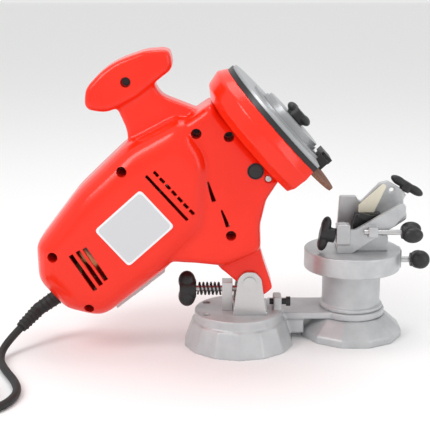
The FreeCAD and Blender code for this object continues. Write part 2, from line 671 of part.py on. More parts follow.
node("guard_ring", cut("ring_cut", rod("ring_blank", RING_RADIUS, "ring_thick", (RIM_X, 0, "spindle_z")), [
    rod("ring_hole", f"{RING_RADIUS} - ring_width", 20, (f"{RIM_X} - 5", 0, "spindle_z")),
        chord("ring_chord"),
]), head=True)
COVER_X = RIM_X + " + ring_thick"
HUB_X = COVER_X + " + cover_thick + hub_height"
# slots round the near side of the hub, with a web between them
cover_slots = cut("cover_slots",
    rod("slot_outside", "hub_radius + hub_step - 3", 20, (COVER_X + " - 5", 0, "spindle_z")), [
    rod("slot_inside", "hub_radius + 4", 30, (COVER_X + " - 8", 0, "spindle_z")),
    block("slot_far", (40, 100, 200), (COVER_X + " - 10", -12, "spindle_z - 100")),
    block("slot_web", (40, 200, 8), (COVER_X + " - 10", -100, "spindle_z - 22")),
])
node("guard_cover", cut("cover_cut", fuse("cover_blank", [
    rod("cover_plate", f"{RING_RADIUS} - cover_edge", "cover_thick", (COVER_X, 0, "spindle_z")),
    rod("cover_hub", "hub_radius", "cover_thick + hub_height", (COVER_X, 0, "spindle_z")),
    rod("cover_collar", "hub_radius + 2", "cover_thick + 5", (COVER_X, 0, "spindle_z")),
    rod("cover_step", "hub_radius + hub_step", "cover_thick + 2", (COVER_X, 0, "spindle_z")),
]), [
    rod("hub_room", "hub_radius - 3", "cover_thick + hub_height - 3", (COVER_X, 0, "spindle_z")),
    rod("hub_hole", 3.1, 30, (COVER_X, 0, "spindle_z")), chord("cover_chord"), cover_slots,
]), head=True)
node("cover_knob", fuse("cover_knob_body", [
    rod("knob_disc", "knob_radius", "knob_height", (HUB_X + " + 2", 0, "spindle_z")),
    rod("knob_neck", 8, 2, (HUB_X, 0, "spindle_z")),
    rod("knob_stud", 3, 6, (HUB_X + " - 4", 0, "spindle_z")),
]), head=True)
node("spark_deflector", fuse("deflector_body", [
    block("deflector_block", ("8 + cover_thick", 22, 11), (COVER_X + " - 2", -26, "guard_chord - 11")),
    block("deflector_lip", ("3 + cover_thick", 30, 12), (COVER_X + " + 6", -15, "guard_chord - 14")),
    block("deflector_bar", (8, 26, 4), (COVER_X + " + 2", -20, "guard_chord - 8")),
]), head=True)
node("spindle_lock_button", fuse("button_body", [
    rod("button_cap", "button_radius", 6, ("button_x", "-front_half - 1", "button_z"), "y"),
    rod("button_pin", 2.5, "front_half - 14.5", ("button_x - 3.5", "-front_half + 5", "button_z + 3"), "y"),
]), head=True)


# ---------------------------------------------------------------- switch
# The barrel's underside slopes, so the switch is drawn level and then tipped.
ROCKER_X = -83
switch_tip = Placement(Vector(), Rotation(Vector(0, 1, 0), 3.76), Vector(ROCKER_X, 0, s.barrel_floor))
switch = cut("switch_cut", fuse("switch_blank", [
    block("bezel", (58, 26, 3), (-112, -13, "barrel_floor - 3.3")),
    block("switch_case", (26, 22, 8), (-96, -11, "barrel_floor - 2")),
]), [block("bezel_window", (24, 16, 6), (-95, -8, "barrel_floor - 6"))])
rocker = fuse("rocker_body", [
    rod("rocker_barrel", 2.2, 15, (ROCKER_X, -7.5, "barrel_floor - 2.6"), "y"),
    block("rocker_cap", (20, 15, 2), (ROCKER_X - 10, -7.5, "barrel_floor - 4.6")),
])
switch.Placement = switch_tip
rocker.Placement = switch_tip
node("switch_body", switch, head=True)
node("switch_rocker", rocker, head=True)

# ---------------------------------------------------------------- machine base
def frustum(name, sides, low, high, bottom, top, centre=(0, 0), turn=0.0):
    """A many-sided cast skirt."""
    rings = []
    for radius, level in ((low, bottom), (high, top)):
        corners = []
        for number in range(sides + 1):
            angle = math.radians(turn) + 2 * math.pi * (number % sides) / sides
            corners.append(Vector(centre[0] + radius * math.cos(angle),
                centre[1] + radius * math.sin(angle), level))
        rings.append(Part.makePolygon(corners))
    return solid(name, Part.makeLoft(rings, True, True))


LUG_X = "deck_radius - 9"
base = fuse("base_blank", [
    frustum("base_skirt", 14, s.base_radius, s.base_neck, 0, s.skirt_height, turn=90 / 7),
    rod("base_deck", "deck_radius", "deck_height - skirt_height", (0, 0, "skirt_height"), "z"),
    block("arm_web", (34, 34, "foot_height + arm_thick - 6"), (30, "vise_y - 22", 6)),
    block("arm_plate", ("vise_x - 30", "2 * 24", "arm_thick"), (30, "vise_y - 24", "foot_height")),
    rod("arm_end", "arm_round", "arm_thick", ("vise_x", "vise_y", "foot_height"), "z"),
    block("stop_lug", (8, 18, "stop_z + 6 - deck_height + 10"), (LUG_X, -7, "deck_height - 10")),
])
base_room = cut("base_room", taper("room_cone", "base_radius - base_wall - 2", "deck_radius - base_wall",
                "deck_height - base_wall", (0, 0, 0), "z"),
                [rod("centre_boss", 14, 60, (0, 0, -5), "z"),
                 block("room_rib", (200, 5, 80), (-100, -2.5, -5)),
                 block("room_cross", (5, 200, 80), (-2.5, -100, -5)),
                 rod("bolt_boss_a", 7.5, 60, ("-bench_bolt_x", "bench_bolt_y", -5), "z"),
                 rod("bolt_boss_b", 7.5, 60, ("-bench_bolt_x", "-bench_bolt_y", -5), "z")])
foot_clear = rod("foot_clear", "foot_radius + 1", "foot_height", ("vise_x", "vise_y", 0), "z")
node("machine_base", cut("base_cut", base, [
    base_room, foot_clear,
    rod("bench_hole_a", "bench_bolt", 60, ("-bench_bolt_x", "bench_bolt_y", -5), "z"),
    rod("bench_hole_b", "bench_bolt", 60, ("-bench_bolt_x", "-bench_bolt_y", -5), "z"),
    rod("stud_hole_arm", "stud_radius + 0.2", 60, ("vise_x", "vise_y", 0), "z"),
    rod("bracket_hole_a", 2.1, 20, (2, 0, "deck_height - 10"), "z"),
    rod("bracket_hole_b", 2.1, 20, (18, 0, "deck_height - 10"), "z"),
    rod("stop_lug_bore", "depth_radius + run_gap", 30, (f"{LUG_X} - 5", 0, "stop_z")),
]))
node("rest_stop_screw", fuse("stop_screw", [
    rod("stop_bar", "depth_radius", 18, (f"{LUG_X} - 3.5", 0, "stop_z")),
    rod("stop_cap", 4.6, 4, (f"{LUG_X} + 12.5", 0, "stop_z")),
]))

# hinge bracket: two cheeks on one foot, in front of the depth block
foot_start = s.block_x + s.block_width + s.fit_gap
CHEEK = rounded([(foot_start, s.deck_height + 1, 0.8), (26, s.deck_height + 1, 0.8),
                 (s.hinge_x + s.eye_radius + 0.6, s.hinge_z + 4, 8),
                     (s.hinge_x + 5, s.hinge_z + s.eye_radius, 6),
                 (s.hinge_x - 5, s.hinge_z + s.eye_radius, 6),
                     (s.hinge_x - s.eye_radius - 0.6, s.hinge_z + 4, 8)])
bracket = fuse("bracket_blank", [
    pad("cheek_near", CHEEK, "cheek_thick", -1, offset="-cheek_gap"),
    pad("cheek_far", CHEEK, "cheek_thick", 1, offset="cheek_gap"),
    block("bracket_foot", ("27 - block_x - block_width - fit_gap", "2 * (cheek_gap + cheek_thick)",
        "cheek_thick"),
          ("block_x + block_width + fit_gap", "-cheek_gap - cheek_thick", "deck_height")),
])
node("hinge_bracket", cut("bracket_cut", bracket, [
    rod("cheek_hole", "pin_radius + run_gap", 80, ("hinge_x", -40, "hinge_z"), "y"),
    rod("foot_hole_a", 2.1, 20, (2, 0, "deck_height - 10"), "z"),
    rod("foot_hole_b", 2.1, 20, (18, 0, "deck_height - 10"), "z"),
]))
PIN_END = "cheek_gap + cheek_thick"
node("hinge_pin", [
    fuse("pin_body", [
        rod("pin_bar", "pin_radius", f"2 * ({PIN_END}) + 4", ("hinge_x", f"-({PIN_END})", "hinge_z"), "y"),
        rod("pin_head", "pin_radius + 2", 2, ("hinge_x", f"-({PIN_END})", "hinge_z"), "-y"),
    ]),
    ring("clip", "pin_radius + 2.5", "pin_radius", 1.2, ("hinge_x", f"{PIN_END} + 0.1", "hinge_z"), "y"),
])
parts = []
for number, x in enumerate((2, 18)):
    parts.append(fuse(f"bracket_bolt_{number}", [
        rod(f"bolt_shank_{number}", 2, "base_wall + cheek_thick + 3",
            (x, 0, "deck_height - base_wall - 3"), "z"),
        prism(f"bolt_head_{number}", 6, 4, 3, (x, 0, "deck_height + cheek_thick"), "z"),
    ]))
node("bracket_bolts", parts)

# depth stop: block, screw, spring and knob
DEPTH = "depth_z"
node("depth_block", cut("depth_block_cut",
     block("depth_body", ("block_width", "2 * block_half", "block_top - deck_height"),
           ("block_x", "-block_half", "deck_height")),
     [rod("depth_bore", "depth_radius + run_gap", 40, ("block_x - 10", 0, DEPTH))]))
KNOB_X = "block_x - spring_length"
node("depth_screw", rod("depth_bar", "depth_radius", f"depth_tip - ({KNOB_X}) + 12",
     (f"{KNOB_X} - 12", 0, DEPTH)))
LOBES = 3


def lobed_knob(name, reach, lobe, hub, thick, start, bore, at, axis):
    """A star knob: round lobes on a hub, drilled for its screw."""
    shape = Part.makeCylinder(hub, thick + 4)
    for number in range(LOBES):
        angle = 2 * math.pi * number / LOBES + math.radians(start)
        place_at = Vector((reach - lobe) * math.cos(angle), (reach - lobe) * math.sin(angle), 0)
        shape = shape.fuse(Part.makeCylinder(lobe, thick, place_at))
        arm = Part.makeBox(reach - lobe, 1.5 * lobe, thick, Vector(0, -0.75 * lobe, 0))
        arm.rotate(Vector(), Vector(0, 0, 1), math.degrees(angle))
        shape = shape.fuse(arm)
    shape = shape.cut(Part.makeCylinder(bore, 80, Vector(0, 0, -40))).removeSplitter()
    return solid(name, shape, Placement(Vector(*at), AXES[axis]))


knob_start = s.block_x - s.spring_length
node("depth_knob", lobed_knob("depth_star", 19, 7, 6, 14, 30, s.depth_radius + s.run_gap,
     (knob_start - 18.2, 0, s.depth_z), "x"))
turns = 6
helix = Part.makeHelix((s.spring_length - 2.6) / turns, s.spring_length - 2.6, s.spring_radius)
wire = Part.Wire(Part.makeCircle(s.spring_wire, Vector(s.spring_radius, 0, 0), Vector(0, 1, 0)))
coil = Part.Wire(helix.Edges).makePipeShell([wire], True, True)
coil.Placement = Placement(Vector(knob_start + 1.3, 0, s.depth_z), AXES["x"])
node("depth_spring", solid("spring_coil", coil))

# ---------------------------------------------------------------- vise stand
node("vise_foot", cut("foot_cut", fuse("foot_blank", [
    frustum("foot_rim_ring", 12, s.foot_radius, s.foot_radius, 0, s.foot_rim, (s.vise_x, s.vise_y), 15),
    frustum("foot_slope", 12, s.foot_radius, s.foot_neck, s.foot_rim, s.foot_height,
        (s.vise_x, s.vise_y), 15),
]), [
    cut("foot_room", rod("foot_room_disc", "foot_neck - 3", "foot_height - 6", ("vise_x", "vise_y", 0),
        "z"),
        [rod("foot_boss", 12, 40, ("vise_x", "vise_y", -5), "z")]),
    rod("stud_hole_foot", "stud_radius + 0.2", 60, ("vise_x", "vise_y", -5), "z"),
    rod("stud_head_room", 9, 7, ("vise_x", "vise_y", 0), "z"),
]))
BED = "foot_height + arm_thick"
node("pillar", cut("pillar_cut", fuse("pillar_blank", [
    rod("pillar_tube", "pillar_radius", f"pillar_top - ({BED})", ("vise_x", "vise_y", BED), "z"),
    rod("pillar_skirt", "pillar_radius + 2.5", 4, ("vise_x", "vise_y", BED), "z"),
]), [
    rod("pillar_low_room", "pillar_radius - pillar_wall", f"pillar_floor - ({BED})",
        ("vise_x", "vise_y", BED), "z"),
    rod("pillar_high_room", "pillar_radius - pillar_wall", 40, ("vise_x", "vise_y", "pillar_floor + 6"),
        "z"),
    rod("stud_hole_pillar", "stud_radius + 0.2", 60, ("vise_x", "vise_y", "pillar_floor - 20"), "z"),
]))
node("pillar_bolt", [
    fuse("stud_body", [
        rod("stud_bar", "stud_radius", "pillar_floor + 6 + 8 - 4", ("vise_x", "vise_y", 4), "z"),
        prism("stud_head", 6, 7.5, 5, ("vise_x", "vise_y", 2), "z"),
    ]),
    cut("stud_nut_cut", prism("stud_nut", 6, 7.5, 6, ("vise_x", "vise_y", "pillar_floor + 6"), "z"),
        [rod("stud_nut_bore", "stud_radius", 30, ("vise_x", "vise_y", "pillar_floor"), "z")]),
])

# ---------------------------------------------------------------- vise
LOCK_Z = "(collar_bottom + pillar_top) / 2"
node("vise_turntable", cut("collar_cut", fuse("collar_blank", [
    rod("collar_disc", "collar_radius", "collar_top - collar_bottom",
        ("vise_x", "vise_y", "collar_bottom"), "z"),
    block("collar_nose", (14, 14, "collar_top - collar_bottom"),
        ("vise_x + 34", "vise_y - 7", "collar_bottom")),
]), [
    rod("collar_bore", "pillar_radius + fit_gap", "pillar_top + fit_gap - collar_bottom + 5",
        ("vise_x", "vise_y", "collar_bottom - 5"), "z"),
    rod("lock_hole", "lock_radius + run_gap", 60, ("vise_x + 20", "vise_y", LOCK_Z)),
]))
node("lock_thumbscrew", fuse("lock_body", [
    rod("lock_bar", "lock_radius", 34, ("vise_x + pillar_radius + fit_gap", "vise_y", LOCK_Z)),
    lobed_knob("lock_star", 12, 5, 6, 14, 90, 2,
        (s.vise_x + 58, s.vise_y, (s.collar_bottom + s.pillar_top) / 2),
               "x"),
]))

# the casting: pedestal and sloping bed, drawn as side profiles
def vise_side(points):
    """An outline in the XZ plane, counted from the pillar axis and the turntable's top."""
    return rounded([(s.vise_x + x, s.collar_top + z, radius) for x, z, radius in points])


def vise_place(x, z):
    return Vector(s.vise_x + x, s.vise_y + WING_Y, s.collar_top + z)


pedestal = pad("pedestal", vise_side([(-14, 0, 0.5), (33, 0, 0.5), (33, 18, 3), (-6, 4, 3)]),
               "2 * bed_half", -1, offset="vise_y + bed_half")
bed = pad("bed", vise_side([(-16, 0, 1), (-2, 0, 1), (40, 25, 4), (50, 32, 3), (50, 41, 2), (-4, 5, 3),
    (-16, 3, 1)]),
          "2 * bed_half", -1, offset="vise_y + bed_half")
node("vise_body", fuse("vise_casting", [pedestal, bed]))

FRONT_FACE = "vise_y - bed_half - chain_slot"
CLAMP_Y = "vise_y - clamp_out - chain_slot"
CLAMP_Z = "collar_top + clamp_up"
STOP_Y = "vise_y - stop_out - chain_slot"
STOP_Z = "collar_top + stop_up"
front_side = vise_side([(-17, 0, 1), (-2, 0, 1), (37, 26.4, 3), (48, 38, 3), (48, 47, 3), (44, 49.5, 2),
                        (0, 23, 3), (-6, 23, 2), (-8, 30, 3), (-17, 30, 3)])
node("front_jaw", cut("front_jaw_cut", fuse("front_jaw_blank", [
    pad("front_jaw_pad", front_side, "rail_thick", -1, offset=FRONT_FACE),
    block("clamp_ear", (13, 14, 19), ("vise_x - 18", f"{CLAMP_Y} - 7", f"{CLAMP_Z} - 9.5")),
    block("stop_ear", (9, 9, 10), ("vise_x + 12", f"{STOP_Y} - 3.5", f"{STOP_Z} - 5")),
]), [
    rod("clamp_hole", "lock_radius + run_gap", 60, ("vise_x - 52", CLAMP_Y, CLAMP_Z)),
    rod("stop_hole", "stop_radius + run_gap", 60, ("vise_x - 2", STOP_Y, STOP_Z)),
]))

# the rear jaw carries the wing screw in a boss square to the bed
WING_BOSS = 4.5
WING_Y = s.bed_half + WING_BOSS
WING_WAY = Vector(0.515, 0, 0.857)
WING_BAR_WAY = Vector(0.857, 0, -0.515)
WING_STEM = 22
WING_BAR = 36
wing_middle = vise_place(54.4, 58.5)
boss_top = wing_middle - WING_WAY * 8
rear_side = vise_side([(-15, 0, 1), (0, 0, 1), (40, 25, 3), (51, 35, 3), (51, 54, 3), (35, 64, 4),
    (27, 62, 3),
                       (8, 42, 3), (4, 49, 2), (-12, 49, 2)])
node("rear_jaw", cut("rear_jaw_cut", fuse("rear_jaw_blank", [
    pad("rear_jaw_pad", rear_side, "rail_thick", 1, offset="vise_y + bed_half"),
    solid("wing_boss", Part.makeCylinder(WING_BOSS, 16, boss_top - WING_WAY * 16, WING_WAY)),
]), [
    rod("rear_jaw_hole", 2.5, 40, ("vise_x + 39", "vise_y", "collar_top + 55"), "y"),
    solid("wing_bore", Part.makeCylinder(s.wing_radius + s.run_gap, 20, boss_top - WING_WAY * 15,
        WING_WAY)),
]))
wing_stem = Part.makeCylinder(s.wing_radius, WING_STEM, wing_middle - WING_WAY * WING_STEM, WING_WAY)
wing_bar = Part.makeCylinder(4, WING_BAR, wing_middle - WING_BAR_WAY * (WING_BAR / 2), WING_BAR_WAY)
node("rail_wing_screw", solid("wing_screw", wing_stem.fuse(wing_bar).removeSplitter()))
node("clamp_wing_screw", fuse("clamp_body", [
    rod("clamp_bar", "lock_radius", 27, ("vise_x - 32", CLAMP_Y, CLAMP_Z)),
    rod("clamp_hub", 7.5, 10, ("vise_x - 28.5", CLAMP_Y, CLAMP_Z)),
    block("clamp_wing", (9, 9, 33), ("vise_x - 34", f"{CLAMP_Y} - 4.5", f"{CLAMP_Z} - 16.5")),
]))
node("stop_rod", rod("stop_rod_bar", "stop_radius", 50, ("vise_x + 8", STOP_Y, STOP_Z)))
stop_knob_at = (s.vise_x + 43.5, s.vise_y - s.stop_out - s.chain_slot, s.collar_top + s.stop_up)
node("stop_knob", lobed_knob("stop_star", 9.6, 4.2, 5, 16, 90, s.stop_radius, stop_knob_at, "x"))

# the chain stop: a carriage on the bed, its plate and a pawl on a pin
PAWL_PIN = ("vise_x + 23", "collar_top + 32.5")
carriage_side = vise_side([(0, 8.05, 1), (19, 20.75, 1), (27, 27.1, 1), (27, 36, 2), (2, 35, 2),
    (-1, 25, 2)])
node("stop_carriage", fuse("carriage_body", [
    pad("carriage", carriage_side, 12, -1, offset="vise_y + 4"),
    rod("carriage_pin", 1.5, 6, (PAWL_PIN[0], "vise_y - 11.7", PAWL_PIN[1]), "y"),
]))
plate_side = vise_side([(5, 35.9, 0.3), (20, 35.9, 0.3), (31.5, 62, 1.5), (28.5, 64.5, 1.5), (5, 43, 1.5)])
node("chain_stop_plate", pad("stop_plate", plate_side, 2, -1, offset="vise_y + 1"))
pawl_side = vise_side([(3, 34, 1), (20, 26.5, 2), (28, 30, 2.5), (27, 36, 2.5), (16, 35, 2), (6, 38, 1)])
node("chain_pawl", cut("pawl_cut", pad("pawl", pawl_side, 3, -1, offset="vise_y - 8.5"),
     [rod("pawl_bore", 1.6, 20, (PAWL_PIN[0], "vise_y - 20", PAWL_PIN[1]), "y")]))

# ---------------------------------------------------------------- mains lead
# The strain relief is flexed by the lead: two tapered lengths with a bend.
LIE = s.cord_radius + 0.2
bend_point = relief_start + relief_ways[0] * relief_lengths[0]
exit_point = bend_point + relief_ways[1] * relief_lengths[1]
relief = Part.makeCone(*relief_radii[:2], relief_lengths[0], relief_start, relief_ways[0])
relief = relief.fuse(Part.makeSphere(relief_radii[1] + 0.3, bend_point))
relief = relief.fuse(Part.makeCone(*relief_radii[1:], relief_lengths[1], bend_point, relief_ways[1]))
ROUTE = [
    exit_point + relief_ways[1] * 0.1, exit_point + relief_ways[1] * 24, Vector(-221.5, -62, 4.5),
        Vector(-212.5, -84, LIE),
    Vector(-199, -110, LIE), Vector(-191.5, -135, LIE), Vector(-197, -160.5, LIE), Vector(-215, -179, LIE),
    Vector(-240, -196, LIE),
]
COIL_CENTRE = Vector(-266, -150, 0)


def route_tube(points, radius):
    """Straight runs joined by tangent arcs, each as large as its runs allow."""
    edges = []
    start = points[0]
    for before, here, after in zip(points, points[1:], points[2:]):
        back = (before - here).normalize()
        ahead = (after - here).normalize()
        half_turn = (math.pi - back.getAngle(ahead)) / 2
        reach = 0.45 * min((before - here).Length, (after - here).Length)
        bend = reach / math.tan(half_turn)
        print(f"cord bend radius {bend:.0f} mm, turn {math.degrees(2 * half_turn):.0f} degrees")
        middle = here + (back + ahead).normalize() * (bend / math.cos(half_turn) - bend)
        edges.append(Part.LineSegment(start, here + back * reach).toShape())
        edges.append(Part.Arc(here + back * reach, middle, here + ahead * reach).toShape())
        start = here + ahead * reach
    edges.append(Part.LineSegment(start, points[-1]).toShape())
    path = Part.Wire(edges)
    first = (points[1] - points[0]).normalize()
    tube = path.makePipeShell([Part.Wire(Part.makeCircle(radius, points[0], first))], True, True)
    print(f"cord {path.Length:.0f} mm, volume ratio {tube.Volume / (math.pi * radius ** 2 * path.Length):.4f}")
    return tube


coil_half = s.coil_across * s.cord_radius + 0.1
coil_ring = Part.makeCylinder(s.coil_turn_radius + coil_half, 2 * s.coil_layers * s.cord_radius,
                              COIL_CENTRE + Vector(0, 0, 0.2))
coil_ring = coil_ring.cut(Part.makeCylinder(s.coil_turn_radius - coil_half, 60, COIL_CENTRE))
coil_room = Part.makeCylinder(s.coil_turn_radius + coil_half + s.fit_gap, 60, COIL_CENTRE)
node("strain_relief", solid("relief", relief))
node("power_cord", solid("cord_tube", route_tube(ROUTE, s.cord_radius).cut(coil_room)))
node("cord_coil", solid("coil_ring", coil_ring))

# the plug lies beside the coil, its boot where the last turn leaves it
plug_x = COIL_CENTRE.x - s.coil_turn_radius
boot_y = COIL_CENTRE.y + 32
plug_z = 7.9
face_y = boot_y + 56
plug_body = Part.makeBox(36, 34, 15, Vector(plug_x - 18, face_y - 34, 0.4))
plug_body = plug_body.makeFillet(5, [e for e in plug_body.Edges if abs(e.tangentAt(0).y) > 0.9])
plug_body = plug_body.fuse(Part.makeCone(4.6, 6.5, 24, Vector(plug_x, boot_y, plug_z), Vector(0, 1, 0)))
for side in (-9.5, 9.5):
    plug_body = plug_body.fuse(Part.makeCylinder(2.4, 19, Vector(plug_x + side, face_y, plug_z),
        Vector(0, 1, 0)))
node("plug", solid("plug_body", plug_body.cut(coil_room)))

# ---------------------------------------------------------------- write
doc.recompute()
os.makedirs("parts", exist_ok=True)
for thing in doc.Objects:
    if "Invalid" in thing.State or "Error" in thing.State:
        raise SystemExit(f"{thing.Name} failed: {thing.State}")
for name, piece in NODES.items():
    shape = piece.Shape
    if shape.isNull() or not shape.isValid() or not shape.Solids:
        raise SystemExit(f"{name} has no valid solid")
    shape.exportStep(os.path.join("parts", name + ".step"))
print(len(NODES), "pieces written")
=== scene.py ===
# %% [markdown]
# # An electric chain sharpener, dressed in Blender
# The real object is a bench machine: a motor head in glossy moulded plastic tilts
# over a cast base, and its thin wheel meets a chain held in a small vise.  The CAD
# model already has the right sizes, so Blender only adds the looks: finishes,
# moulded details, cast surfaces and the mains lead.

# %% Load the frame
import json
import math

import bpy
from mathutils import Matrix, Vector


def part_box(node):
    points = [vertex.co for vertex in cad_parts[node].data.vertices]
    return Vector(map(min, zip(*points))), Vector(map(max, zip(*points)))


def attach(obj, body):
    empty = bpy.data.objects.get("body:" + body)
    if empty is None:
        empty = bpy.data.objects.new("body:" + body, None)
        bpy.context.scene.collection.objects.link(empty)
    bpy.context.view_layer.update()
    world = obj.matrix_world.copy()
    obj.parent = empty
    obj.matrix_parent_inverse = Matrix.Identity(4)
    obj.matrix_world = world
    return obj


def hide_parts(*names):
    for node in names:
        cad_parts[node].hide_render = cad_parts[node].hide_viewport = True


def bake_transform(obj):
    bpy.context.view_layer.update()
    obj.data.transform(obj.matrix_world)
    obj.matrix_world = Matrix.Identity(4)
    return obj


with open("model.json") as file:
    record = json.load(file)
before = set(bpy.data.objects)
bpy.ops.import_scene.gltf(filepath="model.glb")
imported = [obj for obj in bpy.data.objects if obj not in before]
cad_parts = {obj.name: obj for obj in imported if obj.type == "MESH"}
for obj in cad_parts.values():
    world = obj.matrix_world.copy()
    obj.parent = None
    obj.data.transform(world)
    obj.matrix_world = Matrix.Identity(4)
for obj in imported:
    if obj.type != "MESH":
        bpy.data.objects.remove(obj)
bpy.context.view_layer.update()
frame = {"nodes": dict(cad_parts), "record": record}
nodes = frame["nodes"]

# %% [markdown]
# ## Camera
# A long lens from a low seat in front, so the machine is seen from the side with
# the tops of the castings just in view.

# %% Camera
CAMERA_TARGET = Vector((-0.0228, 0.0, 0.127))
CAMERA_DISTANCE = 1.045
CAMERA_ELEVATION = math.radians(14)
FOCAL_SHARE = 1100 / 430            # focal length as a share of the picture's width

camera_data = bpy.data.cameras.new("camera")
camera_data.sensor_width = 36
camera_data.lens = FOCAL_SHARE * camera_data.sensor_width
camera = bpy.data.objects.new("camera", camera_data)
bpy.context.scene.collection.objects.link(camera)
camera.location = CAMERA_TARGET + CAMERA_DISTANCE * Vector(
    (0, -math.cos(CAMERA_ELEVATION), math.sin(CAMERA_ELEVATION)))
camera.rotation_euler = (math.radians(90) - CAMERA_ELEVATION, 0, 0)
bpy.context.scene.camera = camera

# %% [markdown]
# ## Studio
# Glossy plastic is drawn by what it reflects, so the lights are large soft panels:
# one high on the left for the long highlights, one from the right for the metal,
# and a bright room around them.

# %% Floor, lights and room
def deselect():
    """Select nothing, so that an operator acts on what is picked next."""
    bpy.ops.object.select_all(action="DESELECT")


def paint(name, colour, roughness=0.5, metallic=0.0):
    """A new material, its node tree and its shader."""
    material = bpy.data.materials.new(name)
    material.use_nodes = True
    tree = material.node_tree
    shader = tree.nodes["Principled BSDF"]
    shader.inputs["Base Color"].default_value = (*colour, 1)
    shader.inputs["Roughness"].default_value = roughness
    shader.inputs["Metallic"].default_value = metallic
    return material, tree, shader


deselect()
bpy.ops.mesh.primitive_plane_add(size=12, location=(0, 0, 0))
floor = bpy.context.object
floor.name = "floor"
floor.data.materials.append(paint("pale_floor", (0.90, 0.90, 0.90), 0.7)[0])


def panel(name, place, aim, size, power):
    """A soft rectangular lamp that looks at a point."""
    lamp = bpy.data.lights.new(name, "AREA")
    lamp.shape = "RECTANGLE"
    lamp.size, lamp.size_y = size
    lamp.energy = power
    holder = bpy.data.objects.new(name, lamp)
    bpy.context.scene.collection.objects.link(holder)
    holder.location = place
    holder.rotation_euler = (Vector(aim) - Vector(place)).to_track_quat("-Z", "Y").to_euler()


AIM = (-0.02, 0, 0.12)
panel("key_panel", (-0.9, -0.7, 1.1), AIM, (0.45, 0.9), 8)
panel("side_panel", (1.1, -0.8, 0.5), AIM, (0.4, 0.9), 2.5)
panel("top_panel", (0.1, 0.3, 1.4), AIM, (0.9, 0.6), 4.5)
world = bpy.data.worlds.new("room")
world.use_nodes = True
world.node_tree.nodes["Background"].inputs["Color"].default_value = (1, 1, 1, 1)
world.node_tree.nodes["Background"].inputs["Strength"].default_value = 0.82
bpy.context.scene.world = world
bpy.context.scene.view_settings.view_transform = "Standard"

# %% [markdown]
# ## Finishes
# Each finish is one function that builds its own material.  Fine grain comes from
# noise in object coordinates, so it stays put when a piece moves.

# %% Noise helpers
def noise(tree, scale, detail=2.0, roughness=0.5):
    """Noise on the object's own coordinates."""
    place = tree.nodes.get("Texture Coordinate") or tree.nodes.new("ShaderNodeTexCoord")
    grain = tree.nodes.new("ShaderNodeTexNoise")
    grain.inputs["Scale"].default_value = scale
    grain.inputs["Detail"].default_value = detail
    grain.inputs["Roughness"].default_value = roughness
    tree.links.new(place.outputs["Object"], grain.inputs["Vector"])
    return grain.outputs["Fac"]


def bump(tree, shader, height, strength, depth):
    """Turn a height into a bumped normal, on top of any bump already there."""
    node = tree.nodes.new("ShaderNodeBump")
    node.inputs["Strength"].default_value = strength
    node.inputs["Distance"].default_value = depth
    before = shader.inputs["Normal"].links
    if before:
        tree.links.new(before[0].from_socket, node.inputs["Normal"])
    tree.links.new(height, node.inputs["Height"])
    tree.links.new(node.outputs["Normal"], shader.inputs["Normal"])


def ramp(tree, value, stops):
    """Colours along a value: stops are (position, colour)."""
    node = tree.nodes.new("ShaderNodeValToRGB")
    points = node.color_ramp.elements
    while len(points) < len(stops):
        points.new(0.5)
    for point, (where, colour) in zip(points, stops):
        point.position = where
        point.color = (*colour, 1)
    tree.links.new(value, node.inputs["Fac"])
    return node.outputs["Color"]


def vary_roughness(tree, shader, value, low, high):
    """Let the gloss follow a value, between two roughnesses."""
    spread = tree.nodes.new("ShaderNodeMapRange")
    spread.inputs["To Min"].default_value = low
    spread.inputs["To Max"].default_value = high
    tree.links.new(value, spread.inputs["Value"])
    tree.links.new(spread.outputs["Result"], shader.inputs["Roughness"])


# %% Finishes of the head
def moulded_red():
    """Glossy ABS: a faint orange peel and small changes of gloss."""
    material, tree, shader = paint("moulded_red", (0.86, 0.020, 0.004), 0.24)
    tree.links.new(ramp(tree, noise(tree, 18), [(0.3, (0.84, 0.018, 0.0035)), (0.7, (0.89, 0.023, 0.005))]),
                   shader.inputs["Base Color"])
    vary_roughness(tree, shader, noise(tree, 60, 4), 0.16, 0.30)
    bump(tree, shader, noise(tree, 900, 1), 0.06, 0.0004)
    shader.inputs["Specular IOR Level"].default_value = 0.3
    shader.inputs["Coat Weight"].default_value = 0.2
    shader.inputs["Coat Roughness"].default_value = 0.08
    return material


def satin_black():
    """Black nylon with a fine spark-eroded grain."""
    material, tree, shader = paint("satin_black", (0.014, 0.014, 0.015), 0.42)
    vary_roughness(tree, shader, noise(tree, 120, 3), 0.34, 0.52)
    bump(tree, shader, noise(tree, 1800, 2), 0.15, 0.0003)
    return material


def black_rubber():
    material, tree, shader = paint("black_rubber", (0.012, 0.012, 0.012), 0.6)
    vary_roughness(tree, shader, noise(tree, 90, 3), 0.5, 0.7)
    bump(tree, shader, noise(tree, 1400, 3), 0.12, 0.0003)
    return material


def label_white():
    material, tree, shader = paint("label_white", (0.82, 0.83, 0.84), 0.28)
    vary_roughness(tree, shader, noise(tree, 40, 2), 0.22, 0.34)
    bump(tree, shader, noise(tree, 500, 1), 0.03, 0.0002)
    return material


def grey_plastic():
    material, tree, shader = paint("grey_plastic", (0.50, 0.50, 0.51), 0.4)
    vary_roughness(tree, shader, noise(tree, 120, 3), 0.35, 0.5)
    bump(tree, shader, noise(tree, 1500, 2), 0.1, 0.0003)
    return material


def cream_plastic():
    material, tree, shader = paint("cream_plastic", (0.78, 0.74, 0.60), 0.45)
    vary_roughness(tree, shader, noise(tree, 120, 3), 0.4, 0.5)
    bump(tree, shader, noise(tree, 1500, 2), 0.1, 0.0003)
    return material


